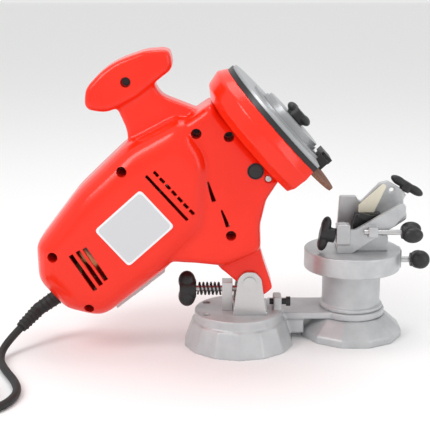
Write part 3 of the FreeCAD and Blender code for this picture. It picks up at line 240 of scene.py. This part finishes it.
# %% Finishes of the metal
def cast_silver():
    """Sand cast aluminium under silver paint: pebbled, with softer and brighter patches."""
    material, tree, shader = paint("cast_silver", (0.50, 0.51, 0.52), 0.46, 0.3)
    tree.links.new(ramp(tree, noise(tree, 55, 5), [(0.35, (0.46, 0.47, 0.48)), (0.65, (0.53, 0.54, 0.55))]),
                   shader.inputs["Base Color"])
    vary_roughness(tree, shader, noise(tree, 140, 4), 0.34, 0.5)
    bump(tree, shader, noise(tree, 260, 3), 0.22, 0.0006)
    bump(tree, shader, noise(tree, 1500, 3), 0.25, 0.0003)
    return material


def die_cast():
    """Bare die casting: smoother, with a slight sheen."""
    material, tree, shader = paint("die_cast", (0.52, 0.53, 0.54), 0.4, 0.5)
    tree.links.new(ramp(tree, noise(tree, 80, 4), [(0.3, (0.47, 0.48, 0.49)), (0.7, (0.57, 0.58, 0.59))]),
                   shader.inputs["Base Color"])
    vary_roughness(tree, shader, noise(tree, 160, 4), 0.26, 0.44)
    bump(tree, shader, noise(tree, 900, 3), 0.18, 0.0003)
    return material


def zinc_plate():
    material, tree, shader = paint("zinc_plate", (0.58, 0.58, 0.58), 0.32, 0.85)
    vary_roughness(tree, shader, noise(tree, 120, 3), 0.27, 0.38)
    bump(tree, shader, noise(tree, 900, 2), 0.03, 0.0001)
    return material


def machined_steel():
    material, tree, shader = paint("machined_steel", (0.55, 0.55, 0.55), 0.3, 1.0)
    vary_roughness(tree, shader, noise(tree, 300, 4), 0.22, 0.4)
    bump(tree, shader, noise(tree, 1600, 2), 0.1, 0.0002)
    return material


def black_steel():
    material, tree, shader = paint("black_steel", (0.03, 0.03, 0.032), 0.35, 0.4)
    vary_roughness(tree, shader, noise(tree, 200, 3), 0.28, 0.46)
    bump(tree, shader, noise(tree, 1300, 2), 0.1, 0.0002)
    return material


def cover_paint():
    material, tree, shader = paint("cover_paint", (0.42, 0.43, 0.44), 0.35, 0.5)
    vary_roughness(tree, shader, noise(tree, 150, 3), 0.28, 0.45)
    bump(tree, shader, noise(tree, 1100, 2), 0.12, 0.0003)
    return material


def bonded_abrasive():
    """Grit held in resin: coarse specks, dark and light."""
    material, tree, shader = paint("bonded_abrasive", (0.35, 0.15, 0.08), 0.85)
    tree.links.new(ramp(tree, noise(tree, 900, 3), [(0.3, (0.10, 0.035, 0.022)), (0.5, (0.21, 0.085, 0.05)),
                                                    (0.72, (0.34, 0.17, 0.11))]),
                   shader.inputs["Base Color"])
    bump(tree, shader, noise(tree, 1200, 3), 0.6, 0.0005)
    return material


def copper_wire():
    material, tree, shader = paint("copper_wire", (0.62, 0.28, 0.13), 0.3, 1.0)
    bump(tree, shader, noise(tree, 700, 2), 0.4, 0.0005)
    return material


def laminated_iron():
    material, tree, shader = paint("laminated_iron", (0.22, 0.22, 0.23), 0.5, 0.7)
    bump(tree, shader, noise(tree, 800, 2), 0.3, 0.0004)
    return material


def turned_brass():
    material, tree, shader = paint("turned_brass", (0.70, 0.52, 0.22), 0.3, 1.0)
    vary_roughness(tree, shader, noise(tree, 300, 3), 0.22, 0.4)
    return material


# %% Give every CAD piece its finish
FINISH = {
    "red_plastic": moulded_red(), "black_plastic": satin_black(), "label": label_white(),
    "grey_plastic": grey_plastic(), "cast": cast_silver(), "jaw_metal": die_cast(), "steel": machined_steel(),
    "zinc": zinc_plate(), "dark_steel": black_steel(), "copper": copper_wire(), "iron": laminated_iron(),
    "carbon": satin_black(), "brass": turned_brass(), "cover_steel": cover_paint(),
    "abrasive": bonded_abrasive(), "cream": cream_plastic(), "rubber": black_rubber(),
}
for entry in frame["record"]["subparts"]:
    mesh = nodes[entry["node"]].data
    mesh.materials.clear()
    mesh.materials.append(FINISH[entry["material_slot"]])
print(len(FINISH), "finishes")

# %% [markdown]
# ## Hand tools for modelling
# A few short helpers do what a hand would do in the viewport: pick one object, pull
# the corners of a flat shape to an outline, raise it into a solid, join forms under
# one skin and cut one from another.  The tilting head is drawn upright and turned
# to its angle at the end, as its drawing would be.

# %% Modelling helpers
HEAD_TILT = math.radians(42)
HINGE = Vector((0.010, 0.0, 0.066))
MM = 0.001


def choose(piece):
    """Select one object and make it active."""
    deselect()
    piece.select_set(True)
    bpy.context.view_layer.objects.active = piece
    return piece


def finish_edit(*steps):
    """Run a few edit-mode operators on everything that is selected."""
    bpy.ops.object.mode_set(mode="EDIT")
    for operator, settings in steps:
        operator(**settings)
    bpy.ops.object.mode_set(mode="OBJECT")


def modify(piece, kind, **settings):
    """Add one modifier, set it and apply it."""
    choose(piece)
    modifier = piece.modifiers.new(kind.lower(), kind)
    for setting, value in settings.items():
        setattr(modifier, setting, value)
    bpy.ops.object.modifier_apply(modifier=modifier.name)
    return piece


def settle(piece):
    """Merge doubles, turn faces outwards and put the piece's place in its mesh."""
    choose(piece)
    bpy.ops.object.transform_apply(location=True, rotation=True, scale=True)
    finish_edit((bpy.ops.mesh.select_all, {"action": "SELECT"}),
                (bpy.ops.mesh.remove_doubles, {"threshold": 0.00001}),
                (bpy.ops.mesh.normals_make_consistent, {"inside": False}))
    return piece


def outline_arcs(corners, steps=5):
    """Points along a closed outline of (across, up, corner radius), in millimetres."""
    points = []
    for i, (across, up, radius) in enumerate(corners):
        here = Vector((across, up))
        back = (Vector(corners[i - 1][:2]) - here).normalized()
        ahead = (Vector(corners[(i + 1) % len(corners)][:2]) - here).normalized()
        half = back.angle(ahead) / 2
        reach = radius / math.tan(half)
        start, stop = here + back * reach, here + ahead * reach
        for step in range(steps + 1):
            share = step / steps
            points.append((1 - share) ** 2 * start + 2 * share * (1 - share) * here + share ** 2 * stop)
    return points


def plate(name, corners, low, high, crown=()):
    """Raise an outline (in the head's own upright frame) from low to high across the
    head, then step it inwards: crown is a list of (inset, rise)."""
    points = outline_arcs(corners)
    deselect()
    bpy.ops.mesh.primitive_circle_add(vertices=len(points), fill_type="NGON")
    piece = bpy.context.object
    piece.name = name
    for vertex, (across, up) in zip(piece.data.vertices, points):
        vertex.co = (across * MM, low * MM, up * MM)
    finish_edit((bpy.ops.mesh.select_all, {"action": "SELECT"}),
                (bpy.ops.mesh.extrude_region_move,
                 {"TRANSFORM_OT_translate": {"value": (0, (high - low) * MM, 0)}}))
    edge = high * MM
    bpy.ops.object.mode_set(mode="EDIT")
    bpy.ops.mesh.select_all(action="DESELECT")
    bpy.ops.mesh.select_mode(type="FACE")
    bpy.ops.object.mode_set(mode="OBJECT")
    for polygon in piece.data.polygons:
        polygon.select = all(abs(piece.data.vertices[i].co.y - edge) < 1e-6 for i in polygon.vertices)
    sides = [[corner[axis] for corner in corners] for axis in (0, 1)]
    width, height = (max(side) - min(side) for side in sides)
    centre = [(max(side) + min(side)) / 2 for side in sides]
    bpy.ops.object.mode_set(mode="EDIT")
    for shrink, rise in crown:
        bpy.ops.mesh.extrude_region_move(
            TRANSFORM_OT_translate={"value": (0, math.copysign(rise * MM, high - low), 0)})
        bpy.ops.transform.resize(value=(1 - 2 * shrink / width, 1, 1 - 2 * shrink / height),
                                 center_override=(centre[0] * MM, 0, centre[1] * MM))
        width, height = width - 2 * shrink, height - 2 * shrink
    bpy.ops.mesh.select_all(action="SELECT")
    bpy.ops.mesh.normals_make_consistent(inside=False)
    bpy.ops.object.mode_set(mode="OBJECT")
    return piece


def duplicate(piece):
    """A copy with its own mesh."""
    other = piece.copy()
    other.data = piece.data.copy()
    bpy.context.scene.collection.objects.link(other)
    return other


def rod(name, radius, start, stop, sides=32):
    """A bar between two places, for cutting or for joining."""
    start, stop = Vector(start) * MM, Vector(stop) * MM
    deselect()
    bpy.ops.mesh.primitive_cylinder_add(vertices=sides, radius=radius * MM, depth=(stop - start).length)
    piece = bpy.context.object
    piece.name = name
    piece.rotation_euler = (stop - start).to_track_quat("Z", "Y").to_euler()
    piece.location = (start + stop) / 2
    return settle(piece)


def brick(name, low, high):
    """A block between two corners, in millimetres."""
    low, high = Vector(low) * MM, Vector(high) * MM
    deselect()
    bpy.ops.mesh.primitive_cube_add(size=1, location=(low + high) / 2)
    piece = bpy.context.object
    piece.name = name
    piece.scale = high - low
    return settle(piece)


def join(pieces, name):
    """Make one object of several."""
    deselect()
    for piece in pieces:
        piece.select_set(True)
    bpy.context.view_layer.objects.active = pieces[0]
    bpy.ops.object.join()
    bpy.context.object.name = name
    return bpy.context.object


def one_skin(pieces, name, grain, rounds):
    """Wrap forms that overlap in one even skin and relax it, so their joints become fillets."""
    form = join(pieces, name)
    modify(form, "REMESH", mode="VOXEL", voxel_size=grain * MM)
    return modify(form, "SMOOTH", factor=0.5, iterations=rounds)


def boolean(piece, tool, operation="DIFFERENCE"):
    """Cut or keep what a tool covers, and throw the tool away."""
    modify(piece, "BOOLEAN", operation=operation, object=tool, solver="EXACT")
    bpy.data.objects.remove(tool)


def tilt(piece):
    """Turn a piece from the head's upright frame to its place on the machine."""
    choose(piece)
    bpy.ops.object.transform_apply(location=True, rotation=True, scale=True)
    piece.matrix_world = Matrix.Translation(HINGE) @ Matrix.Rotation(-HEAD_TILT, 4, "Y")
    choose(piece)
    bpy.ops.object.transform_apply(location=True, rotation=True, scale=True)
    return piece


# %% [markdown]
# ## Moulded housing
# The head is moulded in two halves that meet in a seam.  Its forms run into each
# other with wide fillets: the motor barrel, the gear end, the leg to the hinge, the
# neck and the palm grip.  Each form is raised from its outline, all are wrapped in
# one skin that is relaxed, and the skin is then split, hollowed and cut for slots
# and screws.

# %% Outlines of the head, in millimetres from the hinge
BARREL = [(-146, 98, 22), (-146, 136, 22), (-124, 162, 16), (-60, 174, 120), (4, 176, 80),
          (64, 161, 16), (58, 118, 36), (10, 66, 30), (-50, 63, 60), (-126, 68, 26)]
FRONT = [(-24, 150, 5), (40, 158, 10), (88, 152, 5), (88, 57, 3), (66, 51, 12), (46, 37, 8),
         (30, 18, 8), (-6, 30, 8), (-24, 50, 16), (-42, 68, 10)]
LEG = [(-13, 36, 6), (38, 34, 6), (24, 8, 12), (12, -20, 3), (-1, -19, 3), (-9, 6, 10)]
NECK = [(-14, 150, 7), (12, 184, 24), (22, 214, 7), (62, 211, 7), (57, 186, 16), (78, 144, 7)]
GRIP = [(-4, 224, 8), (10, 237, 16), (40, 240, 70), (74, 226, 40), (92, 212, 8),
        (82, 197, 9), (40, 200, 80), (10, 207, 24)]
BARREL_HALF, FRONT_HALF, GRIP_HALF = 43, 35, 19
WALL = 3
MIDDLE = 6                          # how far each form reaches past the seam, so that they overlap

# %% Raise the forms and wrap them in one skin
barrels, others = [], []
for side in (-1, 1):
    back = -side * MIDDLE
    barrels += [
        plate("barrel", BARREL, back, side * 16, [(1.5, 9), (3, 7.5), (5, 6), (7, 3.6), (8, 0.9)]),
        plate("gear_end", FRONT, back, side * 24, [(1, 5), (2.5, 4), (4, 2)]),
    ]
    others += [
        plate("leg", LEG, back, side * 17, [(1, 1)]),
        plate("neck", NECK, back, side * 10, [(1.5, 3), (3, 2)]),
        plate("grip", GRIP, back, side * 14, [(1.5, 4), (3, 1)]),
    ]
cavity = join([duplicate(form) for form in barrels], "cavity")
head_form = one_skin(barrels + others, "head_form", 1.9, 9)
print("head form", len(head_form.data.polygons), "faces",
      [round(side / MM, 1) for side in head_form.dimensions], "mm")

# %% Hollow it: the same forms, shrunk by the wall, around the screw bosses
SCREWS = [(42, 217, GRIP_HALF), (60, 141, FRONT_HALF), (80, 119, FRONT_HALF), (-13, 161, BARREL_HALF),
          (-115, 145, BARREL_HALF), (-125, 86, BARREL_HALF), (20, 49, FRONT_HALF)]
modify(cavity, "REMESH", mode="VOXEL", voxel_size=2.4 * MM)
modify(cavity, "SMOOTH", factor=0.5, iterations=6)
choose(cavity)
finish_edit((bpy.ops.mesh.select_all, {"action": "SELECT"}),
            (bpy.ops.transform.shrink_fatten, {"value": -WALL * MM}))
modify(cavity, "REMESH", mode="VOXEL", voxel_size=2.4 * MM)
boolean(cavity, join([rod("boss", 7, (x, 1 - half, z), (x, half - 1, z)) for x, z, half in SCREWS], "bosses"))
print("cavity", [round(side / MM, 1) for side in cavity.dimensions], "mm")

# %% Cutters for the slots, screws and openings
SCREW_SEAT = 9                      # from the seam to the seats of the case screws
SPINDLE = 87                        # height of the spindle above the hinge
TAIL_VENTS = [((-109, 96), (-102.8, 136)), ((-101.5, 96), (-95.4, 134.5)), ((-94.8, 96.5), (-88.7, 132.5))]
LEG_VENTS = [((28, 84.5), (37.4, 101.8)), ((21.6, 57.8), (28.9, 73.6))]
BUTTON = (77, 79.5)                 # the lock button, seen from its side
CASE_SCREW = (81, 66.3)             # the bright screw by the button
CASE_SCREW_SEAT = 32.6


def slot_outline(low, high, wide_low, wide_high):
    """Four corners of a slot between two places, each end with its own width."""
    low, high = Vector(low), Vector(high)
    along = (high - low).normalized()
    across = Vector((along.y, -along.x))
    return [(*low, 0.9), (*(low + across * wide_low), 0.9), (*(high + across * wide_high), 0.7), (*high, 0.7)]


def cutters(side):
    """Everything that is cut out of one half; side -1 is the half with the screw heads."""
    barrel_in, barrel_out = side * (BARREL_HALF - 9), side * (BARREL_HALF + 6)
    front_in, front_out = side * (FRONT_HALF - 9), side * (FRONT_HALF + 6)
    tools = []
    for low, high in TAIL_VENTS:
        tools.append(plate("tail_vent", slot_outline(low, high, 4.4, 4.4), barrel_in, barrel_out))
    tools.append(plate("long_vent", slot_outline((0, 88), (0, 144), 3, 3), barrel_in, barrel_out))
    for number in range(7):
        foot = 88 + 8 * number
        tools.append(plate("short_vent", slot_outline((8, foot), (8, foot + 6), 3, 3), barrel_in, barrel_out))
    for low, high in LEG_VENTS:
        tools.append(plate("leg_vent", slot_outline(low, high, 4.2, 1.8), front_in, front_out))
    tools.append(rod("spindle_mouth", 11, (68, 0, SPINDLE), (108, 0, SPINDLE), 48))
    tools.append(rod("hinge_eye", 6.05, (0, -60, 0), (0, 60, 0), 48))
    tools.append(brick("switch_mouth", (-98, -12, 53.2), (-68, 12, 75.2)))
    for across in (-24, 24):
        for up in (-21, 21):
            tools.append(rod("guard_screw_hole", 2.05, (76, across, SPINDLE + up),
                             (91, across, SPINDLE + up), 16))
    if side < 0:
        tools.append(rod("button_mouth", 6.3, (BUTTON[0], -50, BUTTON[1]), (BUTTON[0], -20, BUTTON[1]), 40))
        tools.append(rod("case_screw_sink", 4, (CASE_SCREW[0], -60, CASE_SCREW[1]),
                         (CASE_SCREW[0], -CASE_SCREW_SEAT, CASE_SCREW[1]), 28))
        tools += [rod("screw_sink", 4.8, (x, -60, z), (x, -SCREW_SEAT, z), 28) for x, z, half in SCREWS]
    return tools


# %% Split, hollow and cut the two halves
RELIEF_START = HINGE + Matrix.Rotation(-HEAD_TILT, 3, "Y") @ Vector((-142, 0, 108)) * MM
RELIEF_WAY = Vector((-0.821, -0.22, -0.527))
for side, node in ((-1, "housing_front_half"), (1, "housing_back_half")):
    half = duplicate(head_form)
    half.name = node + "_skin"
    room = brick("room", (-250, min(0.1 * side, 90 * side), -80), (250, max(0.1 * side, 90 * side), 300))
    boolean(half, room, "INTERSECT")
    boolean(half, duplicate(cavity))
    boolean(half, join(cutters(side), "cutters"))
    shanks = [rod("shank", 1.95, (x, -SCREW_SEAT - 1, z), (x, SCREW_SEAT + 1, z), 16) for x, z, _ in SCREWS]
    boolean(half, join(shanks, "shanks"))
    tilt(half)
    reach = RELIEF_WAY * 16 * MM
    boolean(half, rod("lead_mouth", 7.7, (RELIEF_START - reach) / MM, (RELIEF_START + reach) / MM, 48))
    choose(half)
    bpy.ops.object.shade_smooth_by_angle(angle=math.radians(38))
    half.data.materials.clear()
    half.data.materials.append(FINISH["red_plastic"])
    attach(half, "head")
    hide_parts(node)
    print(half.name, sum(len(p.vertices) - 2 for p in half.data.polygons), "triangles")
for spare in (head_form, cavity):
    bpy.data.objects.remove(spare)

# %% [markdown]
# ## Rating plate
# The plate is a thin sheet with rounded corners, a white rim and a pale field.  It
# carries nothing, so the finish does all the work: the field is the inset face.

# %% Rating plate
def pale_field():
    material, tree, shader = paint("pale_field", (0.60, 0.61, 0.63), 0.35)
    vary_roughness(tree, shader, noise(tree, 60, 3), 0.30, 0.42)
    bump(tree, shader, noise(tree, 700, 2), 0.04, 0.0002)
    return material


PLATE = [(-68, 92, 4), (-68, 138, 4), (-11, 138, 4), (-11, 92, 4)]
rating = plate("rating_plate_face", PLATE, -42.9, -43.5, [(0.3, 0.3), (1.6, 0)])
rating.data.materials.append(FINISH["label"])
rating.data.materials.append(pale_field())
front_edge = min(v.co.y for v in rating.data.vertices)
faces = [p for p in rating.data.polygons if len(p.vertices) > 4
         and all(abs(rating.data.vertices[i].co.y - front_edge) < 1e-6 for i in p.vertices)]
for face in faces:
    face.material_index = 1
tilt(rating)
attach(rating, "head")
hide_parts("rating_plate")
print("plate fields", len(faces))

# %% [markdown]
# ## Small trim on the head
# A bright pan head screw sits in a recess by the lock button, the button has a
# moulded collar, and the rubber strain relief is ringed so that it bends evenly.
# Rings are tori set along the axis they belong to.

# %% Trim
def hoop(centre, way, radius, thick):
    """A ring of round section about an axis, in metres."""
    deselect()
    bpy.ops.mesh.primitive_torus_add(major_radius=radius, minor_radius=thick,
                                     major_segments=48, minor_segments=12)
    ring = bpy.context.object
    ring.matrix_world = Matrix.Translation(centre) @ Vector(way).to_track_quat("Z", "Y").to_matrix().to_4x4()
    return settle(ring)


def trim(piece, name, slot_name):
    """Name, finish and fix a small piece to the head."""
    piece.name = name
    piece.data.materials.clear()
    piece.data.materials.append(FINISH[slot_name])
    choose(piece)
    bpy.ops.object.shade_smooth_by_angle(angle=math.radians(35))
    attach(piece, "head")
    print(name, len(piece.data.polygons), "faces")


across, up = CASE_SCREW
seat = -CASE_SCREW_SEAT
case_screw = rod("case_screw", 2.9, (across, seat + 0.4, up), (across, seat - 2, up), 32)
modify(case_screw, "BEVEL", width=0.0008, segments=3, limit_method="ANGLE")
drive = [brick("drive", (across - 1.8, seat - 2.6, up - 0.4), (across + 1.8, seat - 1.1, up + 0.4)),
         brick("drive", (across - 0.4, seat - 2.7, up - 1.8), (across + 0.4, seat - 1.2, up + 1.8))]
for tool in drive:
    boolean(case_screw, tool)
tilt(case_screw)
trim(case_screw, "case_screw", "zinc")

button_collar = hoop(Vector((BUTTON[0], -35.1, BUTTON[1])) * MM, (0, 1, 0), 6.9 * MM, 0.7 * MM)
tilt(button_collar)
trim(button_collar, "button_collar", "black_plastic")

RELIEF_WAYS = [RELIEF_WAY.normalized(), Vector((-0.579, -0.644, -0.5)).normalized()]
RELIEF_STEPS = 6                    # rings to a stretch, less the one at its end
relief_rings = []
for start, way, length, wide, narrow, first in (
        (RELIEF_START, RELIEF_WAYS[0], 30, 7.4, 6.3, 2),       # starts at its second ring
        (RELIEF_START + RELIEF_WAYS[0] * 30 * MM, RELIEF_WAYS[1], 26, 6.3, 5.2, 1)):
    for number in range(first, RELIEF_STEPS):
        share = number / RELIEF_STEPS
        relief_rings.append(hoop(start + way * length * share * MM, way,
                                 (wide + share * (narrow - wide)) * MM, 0.7 * MM))
trim(join(relief_rings, "relief_rings"), "relief_rings", "rubber")

# %% [markdown]
# ## Wing knobs
# The hand screws have moulded wings: two fat lobes on a hub.  Two stretched spheres
# and a short bar, wrapped in one skin and relaxed, give that shape with its waist.

# %% Wing knob
def lobe(centre, size, turn):
    """A stretched sphere; size is its half width in x, y and z before it is turned."""
    deselect()
    bpy.ops.mesh.primitive_uv_sphere_add(segments=32, ring_count=16, radius=1)
    ball = bpy.context.object
    ball.matrix_world = Matrix.Translation(centre) @ turn.to_4x4() @ Matrix.Diagonal((*size, 1))
    return settle(ball)


def bar(start, stop, radius, sides=32):
    """A rod whose places and radius are in metres."""
    return rod("bar", radius / MM, Vector(start) / MM, Vector(stop) / MM, sides)


def wing_knob(node, middle, axis, wing, reach, size, hub, stem=None, pocket=None):
    """Lobes either side of a hub on a screw axis: wing is the way the lobes point.
    Hub, stem and pocket are each (start, stop, radius) along the axis from the middle."""
    axis, wing = Vector(axis).normalized(), Vector(wing).normalized()
    wing = (wing - axis * wing.dot(axis)).normalized()
    turn = Matrix((axis, axis.cross(wing), wing)).transposed()
    forms = [lobe(middle + sign * wing * reach, size, turn) for sign in (-1, 1)]
    forms.append(bar(middle + axis * hub[0], middle + axis * hub[1], hub[2]))
    knob = one_skin(forms, node + "_wings", 0.75, 4)
    if pocket:  # room for a spring in the inner end of the hub
        boolean(knob, bar(middle + axis * pocket[0], middle + axis * pocket[1], pocket[2], 48))
    choose(knob)
    bpy.ops.object.shade_smooth_by_angle(angle=math.radians(50))
    knob.data.materials.clear()
    knob.data.materials.append(FINISH["black_plastic"])
    pieces = [knob]
    if stem:
        shank = bar(middle + axis * stem[0], middle + axis * stem[1], stem[2])
        shank.name = node + "_stem"
        modify(shank, "BEVEL", width=0.0004, segments=2, limit_method="ANGLE")
        shank.data.materials.append(FINISH["zinc"])
        choose(shank)
        bpy.ops.object.shade_smooth_by_angle(angle=math.radians(40))
        pieces.append(shank)
    for piece in pieces:
        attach(piece, body_of(node))
        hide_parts(node)
    print(knob.name, len(knob.data.polygons), "faces")


def body_of(node):
    """The moving body that carries a piece."""
    return next(body for body, members in frame["record"]["behaviour"]["bodies"].items() if node in members)


def centre_of(node, y, z):
    """The middle of a piece along X, on its screw's axis at y and z, and the corners of its box.
    The axis is given, because the box of a knob with three lobes isn't centred on it."""
    low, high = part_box(node)
    return Vector(((low.x + high.x) / 2, y, z)), low, high


X_AXIS = (1, 0, 0)
DEPTH_SCREW, STOP_SCREW = (0.0, 0.054), (0.0037, 0.109)        # where each screw lies, across and up
LOCK_SCREW, CLAMP_SCREW = (0.028, 0.075), (0.0122, 0.1055)

middle, low, high = centre_of("depth_knob", *DEPTH_SCREW)
wing_knob("depth_knob", middle, X_AXIS, (0, 0.15, 1), (high.z - low.z) / 2 - 0.0100, (0.0084, 0.0070, 0.0100),
          (low.x - middle.x + 0.002, high.x - middle.x, 0.0086),
          pocket=(high.x - middle.x - 0.0052, high.x - middle.x + 0.002, 0.0070))
middle, low, high = centre_of("stop_knob", *STOP_SCREW)
wing_knob("stop_knob", middle, X_AXIS, (0, 1, 0.25), 0.0060, (0.0102, 0.0078, 0.0066),
          (low.x - middle.x, high.x - middle.x - 0.006, 0.0064))
middle, low, high = centre_of("lock_thumbscrew", *LOCK_SCREW)
knob_middle = Vector((high.x - 0.0095, middle.y, middle.z))
wing_knob("lock_thumbscrew", knob_middle, X_AXIS, (0, 1, -0.25), 0.0060, (0.0094, 0.0092, 0.0070),
          (-0.0093, 0.004, 0.0068), (low.x - knob_middle.x, -0.004, 0.0029))
middle, low, high = centre_of("clamp_wing_screw", *CLAMP_SCREW)
knob_middle = Vector((low.x + 0.0047, middle.y, middle.z))
wing_knob("clamp_wing_screw", knob_middle, (1, 0, -0.2), (0.2, 0, 1), 0.0086, (0.0050, 0.0062, 0.0088),
          (-0.0044, 0.0105, 0.0072), (0.004, high.x - knob_middle.x, 0.0029))
WING_WAY = Vector((0.515, 0, 0.857))
RAIL_START = Vector((0.112, 0.028, 0.087))      # the pillar's axis at the top of the turntable
bar_middle = RAIL_START + Vector((0.0544, 0.0175, 0.0585))
wing_knob("rail_wing_screw", bar_middle, WING_WAY, (0.857, 0, -0.515), 0.0092, (0.0044, 0.0048, 0.0094),
          (-0.006, 0.0038, 0.0054), (-0.022, -0.003, 0.0024))
UPWARDS = Matrix.Rotation(-HEAD_TILT, 3, "Y")
middle = HINGE + UPWARDS @ Vector((0.139, 0, 0.087))
wing_knob("cover_knob", middle, UPWARDS @ Vector((1, 0, 0)), UPWARDS @ Vector((0, 0.25, 1)), 0.0078,
          (0.0044, 0.0092, 0.0064), (-0.006, 0.0034, 0.0098))

# %% [markdown]
# ## Softened castings
# Sand castings have no sharp edges.  A copy of each casting is welded, wrapped in a
# fine skin and relaxed a little, which rounds every edge by about the same amount,
# as a foundry pattern would.

# %% Soften the castings
def soften(node, grain, rounds):
    """Replace a CAD piece by a copy with relaxed edges; grain is the size of its faces."""
    piece = duplicate(nodes[node])
    piece.name = node + "_cast"
    choose(piece)
    finish_edit((bpy.ops.mesh.select_all, {"action": "SELECT"}),
                (bpy.ops.mesh.remove_doubles, {"threshold": 0.00002}))
    modify(piece, "REMESH", mode="VOXEL", voxel_size=grain * MM)
    modify(piece, "SMOOTH", factor=0.5, iterations=rounds)
    choose(piece)
    bpy.ops.object.shade_smooth()
    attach(piece, body_of(node))
    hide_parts(node)
    print(piece.name, 2 * len(piece.data.polygons), "triangles")


for node, grain, rounds in [("machine_base", 1.1, 3), ("vise_foot", 1.1, 3), ("pillar", 1.1, 2),
                            ("vise_turntable", 0.9, 2), ("front_jaw", 0.6, 3), ("rear_jaw", 0.6, 3),
                            ("vise_body", 0.7, 3), ("hinge_bracket", 0.55, 3), ("depth_block", 0.5, 3),
                            ("wheel_guard", 0.9, 3)]:
    soften(node, grain, rounds)

# %% [markdown]
# ## Mains lead
# A rubber lead leaves the back of the motor through a ribbed strain relief, drops
# to the bench and runs off to a coil.  One smooth spline carries the whole length:
# the visible run is listed point by point and the coil's turns come from a loop.
# The spline is given a round section and made a mesh.

# %% Lay the lead
LEAD_RADIUS = 0.0037
LEAD_REST = LEAD_RADIUS + 0.0002                 # height of its centre on the bench
LEAD_EXIT = Vector((-0.20748, -0.02334, 0.02243))
LEAD_WAY = Vector((-0.579, -0.644, -0.5))        # the way it leaves the strain relief
COIL_CENTRE = Vector((-0.266, -0.150, 0))
TURN_RADII = [0.0484, 0.041, 0.0336, 0.0336, 0.041, 0.0484]
LAST_TURN = 1.25                                 # the outer turn goes on to the plug
TURN_STEPS = 16
PLUG_START = Vector((-0.307, -0.112, 0.0079))

lead_route = [
    LEAD_EXIT, LEAD_EXIT + 0.024 * LEAD_WAY, Vector((-0.2215, -0.062, 0.0045)),
    Vector((-0.2125, -0.084, LEAD_REST)), Vector((-0.199, -0.110, LEAD_REST)),
    Vector((-0.1915, -0.135, LEAD_REST)), Vector((-0.197, -0.1605, LEAD_REST)),
    Vector((-0.215, -0.179, LEAD_REST)), Vector((-0.240, -0.196, LEAD_REST)),
]


def smooth(share):
    """Ease a share from 0 to 1."""
    share = min(max(share, 0), 1)
    return share * share * (3 - 2 * share)


def coil_point(turns):
    """A point of the coil after some turns, clockwise from its nearest point."""
    turn = min(int(turns), len(TURN_RADII) - 1)
    following = min(turn + 1, len(TURN_RADII) - 1)
    change = smooth((turns - turn - 0.8) / 0.2)
    radius = TURN_RADII[turn] + change * (TURN_RADII[following] - TURN_RADII[turn])
    half = len(TURN_RADII) // 2
    layer = (turn >= half) + (change if turn == half - 1 else 0)
    radius /= math.cos(math.pi / TURN_STEPS)     # the spline runs inside its points
    angle = math.radians(270) - 2 * math.pi * turns
    return COIL_CENTRE + Vector((radius * math.cos(angle), radius * math.sin(angle),
                                 LEAD_REST + 2 * LEAD_RADIUS * layer))


total_turns = len(TURN_RADII) - 1 + LAST_TURN
for step in range(int(total_turns * TURN_STEPS) + 1):
    lead_route.append(coil_point(step / TURN_STEPS))
lead_route += [Vector((-0.3135, -0.136, 0.010)), PLUG_START - Vector((0, 0.010, 0)), PLUG_START]

lead_curve = bpy.data.curves.new("lead_line", "CURVE")
lead_curve.dimensions = "3D"
line = lead_curve.splines.new("NURBS")
line.points.add(len(lead_route) - 1)
for point, place in zip(line.points, lead_route):
    point.co = (*place, 1)
line.order_u = 3
line.use_endpoint_u = True
line.resolution_u = 6
lead_line = bpy.data.objects.new("lead_line", lead_curve)
bpy.context.scene.collection.objects.link(lead_line)
bpy.context.view_layer.update()
bare_line = bpy.data.meshes.new_from_object(lead_line.evaluated_get(bpy.context.evaluated_depsgraph_get()))

lead_curve.bevel_depth = LEAD_RADIUS
lead_curve.bevel_resolution = 4
lead_curve.use_fill_caps = True
deselect()
lead_line.select_set(True)
bpy.context.view_layer.objects.active = lead_line
bpy.ops.object.convert(target="MESH")
lead = bpy.context.object
lead.name = "mains_lead"
lead.data.materials.clear()
lead.data.materials.append(FINISH["rubber"])
bpy.ops.object.shade_smooth()
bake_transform(lead)
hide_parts("power_cord", "cord_coil")
